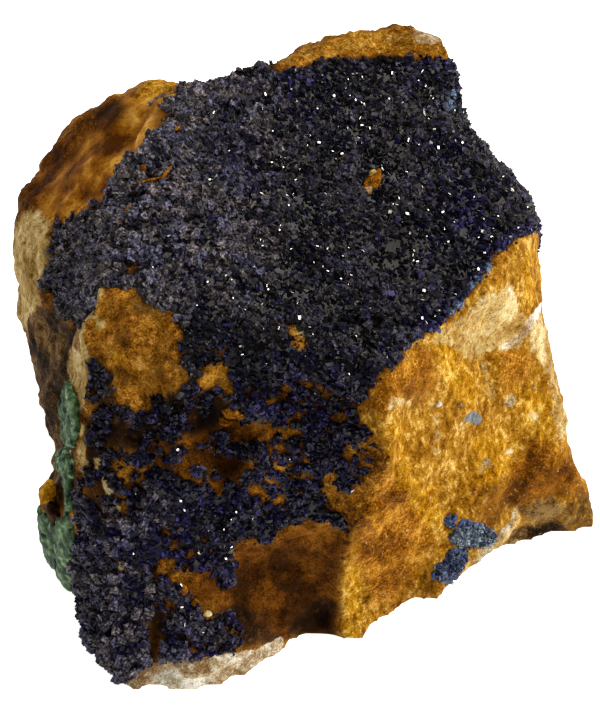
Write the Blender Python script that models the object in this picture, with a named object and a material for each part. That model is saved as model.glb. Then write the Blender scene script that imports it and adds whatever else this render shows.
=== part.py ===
"""Azurite specimen: a hand-sized block of iron-stained quartz with a drusy azurite crust over its top and
front, a small azurite cluster low on its right face and a malachite crust down its left flank.

The stone lies on a flat broken base, +Z up, with its origin at the centre of the footprint.  Its front, the
side with the crust running down it, faces -Y.  Every length in the tables is in millimetres, and MM turns
millimetres into Blender's metres.
"""

import math
import random

import bmesh
import bpy
from mathutils import Euler, Vector, noise
from mathutils.bvhtree import BVHTree

MM = 0.001
SEED = 11

# ---------------------------------------------------------------- the block
# The block is lofted through four levels at 28 stations around it, starting at the near ridge and going
# round to the right: the rim of the upper face, a shoulder, the flank, and the edge of the base at z = 0.
STATIONS = [
    # rim                    shoulder               flank                  base
    ((7.9, -18.8, 33.0), (7.6, -19.6, 24.0), (4.3, -20.6, 9.0), (5.0, -21.6)),  # near ridge
    ((12.4, -11.4, 34.5), (12.4, -13.4, 24.0), (11.8, -15.8, 9.0), (11.6, -16.2)),
    ((17.0, -6.3, 35.0), (17.4, -7.8, 24.0), (18.4, -10.6, 9.0), (18.8, -11.2)),
    ((21.1, -0.6, 35.5), (21.6, -3.4, 24.0), (23.6, -7.2, 9.0), (24.5, -7.9)),
    ((22.5, 3.2, 36.0), (24.2, -1.9, 24.0), (28.9, -5.9, 9.0), (31.2, -7.4)),  # right corner
    ((20.5, 7.6, 36.5), (23.6, 5.5, 24.0), (26.4, 4.0, 9.0), (26.4, 3.5)),
    ((18.1, 11.5, 37.0), (22.0, 12.0, 24.0), (24.0, 12.0, 9.0), (23.5, 11.5)),
    ((14.4, 16.4, 36.5), (18.3, 17.3, 24.0), (21.0, 19.0, 9.0), (20.5, 18.5)),  # notch
    ((16.4, 21.8, 36.6), (17.6, 24.3, 24.0), (17.7, 25.8, 9.0), (16.5, 24.5)),
    ((15.0, 28.0, 36.2), (14.4, 30.0, 25.0), (12.5, 30.0, 9.0), (11.5, 28.0)),  # back corner
    ((10.6, 30.2, 36.3), (9.2, 30.6, 24.0), (7.5, 29.2, 9.0), (7.0, 27.5)),
    ((4.6, 28.5, 36.3), (3.0, 30.0, 24.0), (1.5, 28.5, 9.0), (1.0, 27.0)),
    ((-3.8, 23.4, 35.4), (-5.0, 27.4, 24.0), (-6.0, 28.0, 9.0), (-6.5, 26.5)),
    ((-10.0, 20.6, 34.2), (-11.6, 28.0, 30.0), (-12.0, 28.5, 9.0), (-12.5, 26.0)),
    ((-13.5, 18.9, 34.0), (-15.5, 28.6, 29.8), (-17.0, 28.0, 10.0), (-17.0, 25.5)),
    ((-14.3, 14.1, 34.5), (-22.2, 28.7, 25.5), (-22.3, 26.0, 9.0), (-21.5, 23.0)),
    ((-15.6, 8.5, 34.5), (-28.0, 24.1, 21.5), (-27.3, 21.0, 9.0), (-25.5, 19.0)),
    ((-16.5, 3.5, 34.0), (-29.9, 16.3, 18.0), (-29.2, 15.0, 8.0), (-27.5, 13.5)),  # left flank
    ((-17.4, -2.7, 33.5), (-28.4, 8.3, 13.0), (-27.8, 7.8, 6.0), (-26.5, 7.0)),
    ((-19.1, -5.2, 32.0), (-25.7, 2.3, 9.0), (-25.2, 1.9, 4.0), (-24.6, 1.5)),
    ((-19.6, -6.5, 31.8), (-20.4, -8.1, 29.5), (-24.4, -1.5, 4.0), (-23.6, -2.5)),  # lip over the recess
    ((-19.3, -7.2, 32.0), (-20.4, -10.9, 24.0), (-26.3, -10.1, 6.0), (-25.0, -11.0)),
    ((-18.9, -7.6, 32.3), (-21.0, -14.8, 17.0), (-24.2, -13.9, 3.5), (-23.3, -14.5)),
    ((-18.2, -7.9, 32.6), (-21.2, -18.3, 9.0), (-22.0, -19.7, 5.0), (-20.9, -21.5)),
    ((-16.1, -8.1, 33.0), (-18.2, -18.3, 16.0), (-18.6, -24.6, 5.5), (-17.2, -27.3)),  # front left
    ((-9.4, -11.1, 33.5), (-9.6, -18.9, 19.0), (-9.8, -25.3, 6.0), (-9.8, -27.9)),
    ((-1.9, -13.4, 34.0), (-3.2, -19.0, 20.0), (-3.8, -23.0, 7.0), (-3.4, -24.7)),
    ((3.7, -16.1, 33.5), (2.4, -19.0, 20.0), (0.8, -20.0, 7.0), (1.0, -20.2)),
]
CROWN = (-2.9, 0.2, 36.0)
ROOT_DEPTH = 4.0  # how far below the base the flanks run on before the block is cut off flat
INNER_SHARE = 0.5  # where the ring between the rim and the crown lies

# Bosses and hollows of the block: centre, radius and how far the surface is pushed out (in if negative).
FORMS = [
    ((-23.2, -4.5, 15.0), 9.0, -2.2),  # recess behind the lip
    ((-24.8, -10.3, 9.0), 2.8, 1.4),  # ochre nodule on the left flank
    ((1.9, -20.4, 4.5), 5.0, -1.6),  # hollow beside the near ridge
    ((-3.7, -21.2, 10.0), 8.0, -1.3),  # scoop in the front face
    ((-9.8, -27.0, 2.5), 6.0, 0.6),  # quartz lip under the front
    ((7.0, 6.0, 36.3), 3.5, -0.8),  # pit in the upper face
    ((-15.0, 28.0, 30.0), 4.0, 0.6),  # pale lump at the back left
    ((27.0, -7.0, 4.0), 4.0, 0.7),  # right foot
]

# ---------------------------------------------------------------- surface
GRID = 2.4  # side of the block's facets
GRID_TURN = (0.5, 0.4, 0.3)  # the facets' rows run askew to the block, at these Euler angles
JITTER, WANDER_RATE = 0.5, 1.31  # how far a facet's corner wanders, as a share of GRID, and how fast that turns
CHIP_CELL, CHIP_TILT = 9.0, 0.42  # size of the broken planes, and the slope between neighbours
CHIP_OFFSET, TILT_RATE = (1.7, 5.3, 2.2), 0.37  # where the planes' pattern starts, how fast their tilt turns
GRAIN_CELL, GRAIN_DEPTH = 3.5, 0.3  # size and height of the lumps on the planes
GRAIN_FALL, GRAIN_STEP, GRAIN_OCTAVES = 1.0, 2.0, 3
BEDDED_SHARE = 0.3  # how rough the block is under a crust, next to elsewhere
FOOT_FADE = 6.0  # the roughness fades out over this height towards the base
FOOT_SNAP = 0.6  # a facet's corner this close to the base plane lies on it
CUT_SNAP = 0.001

# ---------------------------------------------------------------- crusts
# A crust is drawn on the plane that faces the way the specimen is displayed, tilted back from upright:
# its outline is (x, height up the slope), and it grows on what that plane looks at.  A facing of 1 looks
# straight at the plane, and 0 is edge on to it.
DISPLAY_TILT = math.radians(48)
GAP = 0.3  # clearance between a crust and the stone
SHELL_LIMIT = 1.8  # most that the clearance is drawn out at a sharp corner
BED = 1.2  # how deep a crust is bedded into the block
PRESS, PRESS_ROUNDS = 0.12, 12  # how far, and how often, the stone is pushed back from under a crust
CRUST_FOOT = 1.2  # a crust grows only on facets above this height
TABLET_INSET, TABLET_SLANT = 0.45, 0.22  # how much a tablet narrows towards its top, and how far that slants
SHORTEST_POINT, SHORTEST_TABLET = 0.45, 0.6  # the lowest crystals, as a share of the highest

# How a crust grows: depth of its plate inside and at its rim, height of its crystals, how far their tips
# lean, and the share of cells that start a tablet.
AZURITE_GROWTH = {"depth": 0.7, "rim_depth": 0.45, "height": 1.2, "lean": 0.55, "tablet_share": 0.3}
CLUSTER_GROWTH = {"depth": 0.9, "rim_depth": 0.45, "height": 1.1, "lean": 0.4, "tablet_share": 0.2}
MALACHITE_GROWTH = {"depth": 0.8, "rim_depth": 0.45, "height": 0.55, "lean": 0.1, "tablet_share": 0.0}

AZURITE_FACING, CLUSTER_FACING, MALACHITE_FACING = 0.1, 0.0, -0.45
AZURITE_OUTLINE = [
    (-13.3, 37.5), (-10.1, 39.6), (-6.9, 40.6), (-3.9, 42.0), (0.0, 41.1), (4.0, 42.0), (11.1, 42.4),
    (16.3, 41.7), (16.8, 39.4), (15.6, 37.0), (19.0, 34.5), (18.9, 31.8), (22.9, 28.7), (24.2, 26.8),
    (23.7, 24.8), (19.9, 22.3), (16.8, 18.6), (13.0, 15.4), (10.1, 12.9), (6.7, 8.6), (8.0, 4.3),
    (6.5, -0.5), (4.0, -4.0), (0.0, -4.1), (-4.0, -5.7), (-7.5, -7.1), (-11.2, -8.9), (-9.7, -11.6),
    (-5.7, -13.3), (-7.4, -16.8), (-13.2, -17.6), (-16.9, -19.6), (-20.8, -16.4), (-22.2, -11.4),
    (-21.6, -4.0), (-21.1, 1.2), (-20.4, 5.6), (-18.0, 8.8), (-15.9, 7.0), (-11.0, 8.7), (-11.0, 14.2),
    (-13.3, 16.8), (-16.8, 18.5), (-20.3, 16.7), (-23.9, 16.6), (-25.7, 21.1), (-24.2, 25.7),
    (-18.5, 27.6), (-15.8, 31.6),
]
AZURITE_WINDOWS = [
    [(-10.4, 7.8), (-7.4, 8.2), (-4.7, 7.1), (-2.3, 5.0), (-5.3, 1.0), (-7.8, 0.2), (-11.8, 2.6)],
    [(-2.8, 15.8), (-0.2, 16.4), (1.6, 14.5), (1.2, 12.4), (-2.2, 13.0)],
]
WRAP_LOW, WRAP_HIGH = (14.0, 1.5, 31.5), (26.0, 21.0, 40.0)  # the crust turns over the rim in this box
CLUSTER_OUTLINE = [
    (15.0, -4.0), (18.3, -3.6), (20.6, -5.8), (19.3, -7.6), (16.6, -9.4), (14.0, -10.8), (12.2, -9.6),
    (14.6, -7.6),
]
MALACHITE_OUTLINE = [
    (-25.0, 9.6), (-21.6, 9.4), (-21.0, 4.0), (-21.4, -1.8), (-21.4, -9.3), (-21.8, -12.6), (-24.0, -11.4),
    (-27.6, -7.0), (-28.0, -2.6), (-25.6, 1.0), (-25.2, 5.0),
]


def smoothstep(low, high, value):
    share = min(1.0, max(0.0, (value - low) / (high - low)))
    return share * share * (3.0 - 2.0 * share)


def clear_scene():
    for obj in list(bpy.data.objects):
        bpy.data.objects.remove(obj)


def add_object(name, bm, material):
    mesh = bpy.data.meshes.new(name)
    bm.to_mesh(mesh)
    bm.free()
    mesh.materials.append(material)
    obj = bpy.data.objects.new(name, mesh)
    bpy.context.scene.collection.objects.link(obj)
    return obj


def add_material(name, colour, roughness):
    material = bpy.data.materials.new(name)
    material.use_nodes = True
    shader = material.node_tree.nodes["Principled BSDF"]
    shader.inputs["Base Color"].default_value = (*colour, 1.0)
    shader.inputs["Roughness"].default_value = roughness
    return material


# ---------------------------------------------------------------- the stone's surface
def loft_block():
    """The block as a closed loft: an inner ring under the crown, four rings of stations and the roots' ends."""
    bm = bmesh.new()
    crown = Vector(CROWN)
    rings = []
    for level in range(4):
        points = [Vector((*station[level], 0.0)[:3]) for station in STATIONS]
        rings.append([bm.verts.new(point) for point in points])
    roots = []
    for flank, base in zip(rings[2], rings[3]):
        run = (base.co - flank.co) / flank.co.z
        roots.append(bm.verts.new(base.co + run * ROOT_DEPTH))
    rings.append(roots)
    rings.insert(0, [bm.verts.new(v.co.lerp(crown, INNER_SHARE)) for v in rings[0]])
    top = bm.verts.new(crown)
    count = len(STATIONS)
    for i in range(count):
        j = (i + 1) % count
        bm.faces.new((top, rings[0][i], rings[0][j]))
        for upper, lower in zip(rings, rings[1:]):
            bm.faces.new((upper[i], lower[i], lower[j], upper[j]))
    bm.faces.new(reversed(rings[-1]))
    bmesh.ops.scale(bm, vec=(MM, MM, MM), verts=bm.verts)
    return bm


def regrid(bm):
    """The same surface in even four-sided facets, as a new bmesh in millimetres."""
    turn = Euler(GRID_TURN).to_matrix()
    bmesh.ops.rotate(bm, matrix=turn, verts=bm.verts)
    rough = add_object("rough_block", bm, add_material("rough", (0.5, 0.5, 0.5), 0.5))
    remesh = rough.modifiers.new("even_facets", "REMESH")
    remesh.mode = "VOXEL"
    remesh.voxel_size = GRID * MM
    depsgraph = bpy.context.evaluated_depsgraph_get()
    even = bmesh.new()
    even.from_mesh(rough.evaluated_get(depsgraph).to_mesh())
    bpy.data.objects.remove(rough)
    bmesh.ops.rotate(even, matrix=turn.inverted(), verts=even.verts)
    bmesh.ops.scale(even, vec=(1 / MM, 1 / MM, 1 / MM), verts=even.verts)
    even.normal_update()
    return even


def form_push(point):
    """How far the named bosses and hollows push the surface out at this point."""
    push = 0.0
    for centre, radius, height in FORMS:
        distance = (point - Vector(centre)).length
        push += height * smoothstep(radius, 0.0, distance) if distance < radius else 0.0
    return push


def chip_push(point):
    """Broken planes: the surface tilts a little differently in each cell, with a ledge between cells."""
    offset = Vector(CHIP_OFFSET)
    centre = (noise.voronoi(point / CHIP_CELL + offset)[1][0] - offset) * CHIP_CELL
    tilt = noise.noise_vector(centre * TILT_RATE)
    return CHIP_TILT * (point - centre).dot(tilt)


def grain_push(point):
    return GRAIN_DEPTH * noise.fractal(point / GRAIN_CELL, GRAIN_FALL, GRAIN_STEP, GRAIN_OCTAVES)


def weather(bm, patches):
    """Breaks the even block into chipped planes, bosses and hollows, less so where a crust lies on it."""
    bedded = {v for patch in patches for face in patch for v in face.verts}
    moved = {}
    for v in bm.verts:
        point = v.co.copy()
        breakage = (BEDDED_SHARE if v in bedded else 1.0) * smoothstep(-FOOT_FADE, FOOT_FADE, point.z)
        push = form_push(point) + breakage * (chip_push(point) + grain_push(point))
        wander = noise.noise_vector(point * WANDER_RATE) * GRID * JITTER
        wander -= v.normal * wander.dot(v.normal)
        moved[v] = point + v.normal * push + wander
    for v, point in moved.items():
        v.co = point
        if abs(v.co.z) < FOOT_SNAP:
            v.co.z = 0.0
    bm.normal_update()


# ---------------------------------------------------------------- where a crust grows
def display_point(point):
    return point.x, point.y * math.sin(DISPLAY_TILT) + point.z * math.cos(DISPLAY_TILT)


def faces_display(normal):
    return -normal.y * math.cos(DISPLAY_TILT) + normal.z * math.sin(DISPLAY_TILT)


def inside(outline, spot):
    """Whether a spot lies inside an outline, by counting the outline's edges to its right."""
    x, y = spot
    crossings = 0
    for (ax, ay), (bx, by) in zip(outline, outline[1:] + outline[:1]):
        if (ay > y) != (by > y) and x < ax + (y - ay) / (by - ay) * (bx - ax):
            crossings += 1
    return crossings % 2 == 1


def under_azurite(face):
    centre = face.calc_center_median()
    if all(low < place < high for low, place, high in zip(WRAP_LOW, centre, WRAP_HIGH)):
        return True
    spot = display_point(centre)
    if faces_display(face.normal) < AZURITE_FACING or not inside(AZURITE_OUTLINE, spot):
        return False
    return not any(inside(window, spot) for window in AZURITE_WINDOWS)


def under_cluster(face):
    spot = display_point(face.calc_center_median())
    return faces_display(face.normal) > CLUSTER_FACING and inside(CLUSTER_OUTLINE, spot)


def under_malachite(face):
    spot = display_point(face.calc_center_median())
    return faces_display(face.normal) > MALACHITE_FACING and inside(MALACHITE_OUTLINE, spot)


def place_of_face(face):
    """A face's place as a key for sorting, so that the order doesn't hang on how the facets were made."""
    return tuple(face.calc_center_median())


def whole_patch(faces):
    """The largest connected patch of these faces, with no corner where two of its faces only touch."""
    left, patches = {face for face in faces if min(v.co.z for v in face.verts) > CRUST_FOOT}, []
    while left:
        patch, edge_of_patch = set(), [left.pop()]
        while edge_of_patch:
            face = edge_of_patch.pop()
            patch.add(face)
            near = {other for edge in face.edges for other in edge.link_faces} & left
            left -= near
            edge_of_patch.extend(near)
        patches.append(patch)
    patch = max(patches, key=len)
    for face in sorted(patch, key=place_of_face):
        for v in face.verts:
            rim_edges = [e for e in v.link_edges if len(patch.intersection(e.link_faces)) == 1]
            if len(rim_edges) > 2:
                return whole_patch(patch - {face})
    return patch


# ---------------------------------------------------------------- the crusts themselves
def lay_crust(patch, depth, rim_depth):
    """A closed plate over a patch of the stone: its underside, its upper face and the wall round its rim."""
    bm = bmesh.new()
    corners = {v for face in patch for v in face.verts}
    rim = {v for v in corners if not patch.issuperset(v.link_faces)}
    under, over = {}, {}
    for v in sorted(corners, key=lambda v: v.co[:]):
        lift = v.normal * GAP * min(v.calc_shell_factor(), SHELL_LIMIT)
        under[v] = bm.verts.new(v.co + lift)
        over[v] = bm.verts.new(v.co + lift + v.normal * (rim_depth if v in rim else depth))
    tops = []
    for face in sorted(patch, key=place_of_face):
        a, b, c, d = face.verts
        bm.faces.new((under[a], under[c], under[b]))
        bm.faces.new((under[a], under[d], under[c]))
        tops.append(bm.faces.new([over[v] for v in face.verts]))
        for loop in face.loops:
            if loop.link_loop_radial_next.face not in patch:
                start, end = loop.vert, loop.link_loop_next.vert
                bm.faces.new((under[start], under[end], over[end], over[start]))
    bm.normal_update()
    return bm, tops


def join_pairs(tops, share, rng):
    """Joins some neighbouring cells of the upper face two by two, and returns the single cells and the pairs."""
    free, pairs = dict.fromkeys(tops), []
    for face in tops:
        if face not in free or rng.random() > share:
            continue
        near = [f for edge in face.edges for f in edge.link_faces if f is not face and f in free]
        if near:
            other = rng.choice(near)
            del free[face], free[other]
            pairs.append(bmesh.utils.face_join((face, other)))
    return list(free), pairs


def grow_points(bm, cells, height, lean, rng):
    """Each cell becomes a crystal's point: flat faces rise from its corners to a tip that leans to one side."""
    tips = bmesh.ops.poke(bm, faces=cells)["verts"]
    bm.normal_update()
    for tip in tips:
        side = Vector((rng.uniform(-1, 1), rng.uniform(-1, 1), rng.uniform(-1, 1)))
        side -= tip.normal * side.dot(tip.normal)
        tip.co += tip.normal * height * rng.uniform(SHORTEST_POINT, 1.0) + side * lean


def grow_tablets(bm, cells, height, rng):
    """Each cell becomes a flat-topped tablet: steep sides and a slanting face on top."""
    for cell in cells:
        normal = cell.normal.copy()
        bmesh.ops.inset_individual(bm, faces=[cell], thickness=TABLET_INSET)
        centre = cell.calc_center_median()
        slant = Vector((rng.uniform(-1, 1), rng.uniform(-1, 1), rng.uniform(-1, 1))) * TABLET_SLANT
        rise = height * rng.uniform(SHORTEST_TABLET, 1.0)
        for v in cell.verts:
            v.co += normal * (rise + slant.dot(v.co - centre))


def crystal_crust(patch, depth, rim_depth, height, lean, tablet_share):
    rng = random.Random(SEED)
    bm, tops = lay_crust(patch, depth, rim_depth)
    singles, pairs = join_pairs(tops, tablet_share, rng)
    grow_tablets(bm, pairs, height, rng)
    grow_points(bm, singles, height, lean, rng)
    return bm


def clear_of(faces, patch):
    """The faces that share no corner with a patch."""
    corners = {v for face in patch for v in face.verts}
    return {face for face in faces if not corners.intersection(face.verts)}


def sink_bed(patches):
    """Lowers the stone under the crusts, so that a crust's upper face lies where the block's face was."""
    weights = {}
    for patch in patches:
        for face in patch:
            for v in face.verts:
                weights[v] = weights.get(v, 0.0) + 1.0 / len(v.link_faces)
    moves = {v: -v.normal * BED * weight for v, weight in weights.items()}
    for v, move in moves.items():
        v.co += move


def press_back(stone, crusts):
    """Pushes the stone back, a little at a time, wherever a crust would cut into it."""
    trees = [BVHTree.FromBMesh(crust) for crust in crusts]
    for _ in range(PRESS_ROUNDS):
        stone.faces.ensure_lookup_table()
        bed = BVHTree.FromBMesh(stone)
        touched = {stone.faces[index] for tree in trees for index, _ in bed.overlap(tree)}
        for v in {v for face in touched for v in face.verts if v.co.z > 0.0}:
            v.co -= v.normal * PRESS
        stone.normal_update()


def cut_base(bm):
    """Cuts the block off at z = 0 and closes it with one flat face."""
    everything = bm.verts[:] + bm.edges[:] + bm.faces[:]
    bmesh.ops.bisect_plane(
        bm, geom=everything, dist=CUT_SNAP, plane_co=(0, 0, 0), plane_no=(0, 0, -1), clear_outer=True
    )
    rim = [edge for edge in bm.edges if edge.is_boundary]
    bmesh.ops.edgeloop_fill(bm, edges=rim)


def centred(meshes):
    """Moves the meshes together so that the footprint's centre is the origin, and turns them to metres."""
    points = [v.co for bm in meshes for v in bm.verts]
    low = Vector([min(p[axis] for p in points) for axis in range(3)])
    high = Vector([max(p[axis] for p in points) for axis in range(3)])
    shift = -Vector(((low.x + high.x) / 2, (low.y + high.y) / 2, low.z))
    for bm in meshes:
        bmesh.ops.translate(bm, vec=shift, verts=bm.verts)
        bmesh.ops.scale(bm, vec=(MM, MM, MM), verts=bm.verts)


def main():
    clear_scene()
    noise.seed_set(SEED)
    stone = regrid(loft_block())
    azurite = whole_patch({face for face in stone.faces if under_azurite(face)})
    bare = clear_of(stone.faces, azurite)
    cluster = whole_patch({face for face in bare if under_cluster(face)})
    malachite = whole_patch({face for face in bare if under_malachite(face)})
    weather(stone, (azurite, cluster, malachite))
    sink_bed((azurite, cluster, malachite))
    stone.normal_update()
    crust = crystal_crust(azurite, **AZURITE_GROWTH)
    small = crystal_crust(cluster, **CLUSTER_GROWTH)
    green = crystal_crust(malachite, **MALACHITE_GROWTH)
    cut_base(stone)
    bmesh.ops.triangulate(stone, faces=stone.faces, quad_method="FIXED")
    press_back(stone, (crust, small, green))
    centred((stone, crust, small, green))
    add_object("matrix_stone", stone, add_material("limonite_quartz", (0.46, 0.24, 0.045), 0.85))
    add_object("azurite_crust", crust, add_material("azurite_druse", (0.018, 0.022, 0.085), 0.25))
    add_object("azurite_cluster", small, add_material("azurite_rosette", (0.03, 0.06, 0.2), 0.3))
    add_object("malachite_crust", green, add_material("malachite", (0.07, 0.24, 0.13), 0.7))


main()
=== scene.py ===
"""The looks of an azurite specimen: a drusy azurite crust on a block of limonite-stained quartz.

Lengths are in millimetres until a mesh is made. Outlines are in picture points: the pixels of a
600 x 716 frame, seen by the camera that this script sets up. The whole number in a call of the
noise is its salt, which picks its pattern.
"""
import itertools
import math

import bmesh
import bpy
import numpy as np
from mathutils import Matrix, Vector
from mathutils.bvhtree import BVHTree


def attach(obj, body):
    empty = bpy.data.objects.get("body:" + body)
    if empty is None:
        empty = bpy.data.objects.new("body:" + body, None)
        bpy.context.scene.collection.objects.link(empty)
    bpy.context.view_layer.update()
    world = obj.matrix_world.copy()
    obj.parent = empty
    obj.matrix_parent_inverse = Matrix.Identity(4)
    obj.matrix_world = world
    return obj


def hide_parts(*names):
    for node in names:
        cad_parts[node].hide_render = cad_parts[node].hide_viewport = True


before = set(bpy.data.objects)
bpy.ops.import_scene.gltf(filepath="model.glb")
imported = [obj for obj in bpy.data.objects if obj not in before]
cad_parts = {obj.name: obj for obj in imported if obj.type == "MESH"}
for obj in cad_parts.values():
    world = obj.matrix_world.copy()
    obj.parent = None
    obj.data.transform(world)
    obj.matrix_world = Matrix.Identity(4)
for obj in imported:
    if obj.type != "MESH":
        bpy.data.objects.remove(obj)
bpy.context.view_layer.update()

MM = 0.001
SEED = 23
ROUND_CORNERS = ((-1, -1), (1, -1), (1, 1), (-1, 1))    # a square's corners, in order

# The camera: it looks down at the front, along +Y, and one pixel is a tenth of a millimetre there.
PICTURE_WIDTH, PICTURE_HEIGHT = 600, 716
PIXEL = 0.1
CAMERA_TILT = math.radians(48)
CAMERA_TARGET = np.array((-0.254, -0.947, 17.4))
CAMERA_DISTANCE = 330.0
FILM = 36.0
TOWARDS_CAMERA = np.array((0.0, -math.cos(CAMERA_TILT), math.sin(CAMERA_TILT)))
PICTURE_RIGHT = np.array((1.0, 0.0, 0.0))
PICTURE_UP = np.cross(TOWARDS_CAMERA, PICTURE_RIGHT)
EYE = CAMERA_TARGET + TOWARDS_CAMERA * CAMERA_DISTANCE
KEY_PLACE = (330.0, -60.0, 300.0)       # the key light
RIM_FROM = -0.5                         # a rim's colour goes this far over its edge
FACING_FROM, FACING_TO = -0.05, 0.2     # where a face turns enough to the camera to follow an outline

# The stone's skin.
SKIN_STEP = 0.57
BED = 1.2                               # how far the stone is raised under its crusts
BED_NEAR, BED_FAR = 0.7, 1.5            # a packed crust counts within the first, and not past the second
FACET_ROUNDS, BED_ROUNDS = 10, 3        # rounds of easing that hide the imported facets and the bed's edge
NEAR_ROUNDS, FRINGE_ROUNDS = 4, 5       # rounds of averaging that soften where the crusts lie
TURN_ROUNDS, BROAD_ROUNDS = 8, 16       # and that give a face's broad direction
SPLIT_FACING, SPLIT_COVER = -0.35, 0.97     # stone turned further away, or more covered, isn't split
BASE_FLAT = 0.3                         # the base stays as packed below this height
BASE_BAND = 0.9                         # relief fades in over this height above the base
LEDGE_STRETCH = np.array((1.7, 1.0, 1.0))   # the crust's ledges are drawn out along X
LOWEST = 0.02                           # nothing goes below this height

# Outlines of the azurite crust.
AZURITE = (
    (188, 78), (213, 74), (241, 66), (258, 68), (280, 73), (307, 68), (333, 58), (370, 57), (416, 57),
    (435, 61), (452, 64), (478, 60), (500, 130), (560, 190), (565, 226), (537, 228), (518, 236), (505, 245),
    (496, 257), (488, 269), (479, 284), (459, 303), (447, 318), (430, 330), (416, 337), (406, 349),
    (399, 359), (387, 368), (382, 378), (368, 392), (357, 411), (366, 424), (374, 435), (376, 452),
    (370, 470), (360, 483), (348, 489), (325, 491), (325, 509), (347, 515), (342, 533), (332, 522),
    (310, 520), (282, 526), (275, 539), (237, 540), (230, 552), (236, 566), (228, 586), (216, 584),
    (208, 570), (186, 576), (184, 590), (193, 604), (213, 611), (232, 616), (242, 628), (243, 641),
    (228, 650), (198, 659), (162, 657), (164, 610), (155, 604), (148, 612), (149, 664), (127, 677),
    (120, 688), (104, 690), (100, 655), (88, 640), (70, 622), (60, 600), (66, 586), (74, 578), (74, 540),
    (80, 520), (76, 500), (84, 470), (88, 448), (92, 430), (94, 400), (94, 372), (86, 325), (57, 313),
    (55, 297), (44, 286), (52, 260), (52, 235), (57, 221), (87, 214), (112, 198), (117, 182), (129, 164),
    (149, 152), (152, 140), (166, 131), (169, 118), (164, 107), (176, 97),
)
OCHRE_WINDOW = (
    (88, 322), (107, 293), (120, 287), (139, 287), (140, 297), (152, 303), (160, 304), (177, 314),
    (183, 332), (179, 352), (185, 370), (190, 381), (181, 392), (167, 395), (143, 407), (127, 410),
    (117, 398), (112, 381), (100, 368), (91, 356), (84, 340),
)
BROWN_WINDOW = (
    (181, 392), (207, 388), (235, 397), (243, 410), (240, 424), (250, 421), (275, 423), (274, 436),
    (258, 440), (236, 441), (232, 452), (246, 458), (261, 459), (252, 468), (243, 475), (240, 490),
    (222, 494), (206, 490), (188, 478), (158, 466), (150, 454), (147, 443), (165, 440), (181, 439),
    (187, 421), (181, 407),
)
SECOND_PATCH = (
    (196, 381), (199, 372), (207, 367), (216, 364), (225, 361), (232, 370), (237, 388), (234, 396),
    (217, 390), (207, 392), (197, 387),
)
SCAR = (
    (280, 325), (286, 321), (298, 326), (308, 332), (312, 342), (307, 352), (298, 354), (292, 345),
    (298, 338), (288, 334),
)
STRIPE = ((146, 612), (155, 604), (164, 610), (162, 660), (148, 668))
SMALL_GAPS = (
    ((197, 345), (209, 347), (207, 354), (198, 353)), ((216, 350), (227, 349), (226, 355), (217, 355)),
    ((147, 271), (155, 272), (154, 278), (148, 277)), ((143, 165), (149, 164), (147, 178), (143, 178)),
    ((136, 183), (152, 179), (169, 179), (169, 182), (138, 187)),
    ((174, 129), (181, 130), (180, 137), (175, 136)), ((127, 262), (137, 266), (136, 276), (128, 274)),
    ((251, 421), (275, 423), (274, 436), (254, 434)), ((290, 425), (300, 420), (306, 430), (296, 436)),
    ((180, 584), (187, 584), (187, 596), (181, 596)), ((200, 606), (214, 607), (215, 618), (202, 619)),
    ((94, 458), (101, 457), (102, 471), (95, 471)), ((103, 478), (109, 477), (115, 505), (108, 507)),
    ((115, 502), (121, 501), (124, 516), (118, 516)), ((117, 562), (123, 561), (124, 585), (118, 586)),
)
# Islands of azurite in the windows: x, y and radius.
ISLANDS = (
    (180, 448, 7), (160, 450, 4), (205, 446, 5), (205, 407, 5), (161, 432, 7), (147, 459, 7), (198, 472, 6),
    (217, 475, 7), (207, 484, 5), (219, 437, 7), (225, 448, 6), (197, 372, 7), (186, 400, 5), (210, 398, 4),
    (190, 426, 3), (236, 405, 4), (232, 484, 5), (170, 461, 4),
)
# Grounds where brown gaps show between the crystals.
LOOSE_GROUND = (
    (236, 388), (300, 376), (368, 392), (356, 411), (384, 435), (386, 470), (350, 490), (300, 500),
    (262, 520), (236, 500), (250, 455), (276, 436),
)
STREAKED_GROUND = ((88, 448), (118, 440), (150, 466), (150, 500), (130, 524), (96, 520), (80, 490))
LOW_GROUND = (
    (160, 520), (232, 540), (214, 585), (186, 576), (184, 604), (240, 628), (240, 650), (160, 660),
    (150, 600),
)
CLUSTERED_GROUND = (
    (92, 368), (112, 381), (117, 398), (127, 410), (143, 407), (167, 395), (181, 398), (187, 421),
    (181, 439), (147, 443), (150, 466), (138, 472), (110, 452), (92, 432),
)
UPPER_DARK = (
    (18, 212), (26, 176), (50, 150), (70, 132), (84, 116), (98, 106), (118, 100), (134, 104), (130, 118),
    (106, 128), (92, 142), (80, 160), (62, 178), (50, 200), (40, 222),
)
UPPER_LIP = (
    (120, 100), (124, 84), (140, 74), (168, 76), (200, 86), (192, 100), (172, 102), (160, 112), (150, 126),
    (148, 140), (140, 150), (134, 136), (132, 116),
)
OLIVE_PARTS = (
    ((116, 332), (126, 326), (138, 332), (142, 344), (132, 350), (118, 348)),
    ((112, 370), (122, 366), (132, 376), (130, 390), (120, 392)),
    ((152, 366), (164, 362), (172, 372), (166, 382), (154, 380)),
    ((136, 298), (150, 304), (146, 314), (134, 310)),
)

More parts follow.
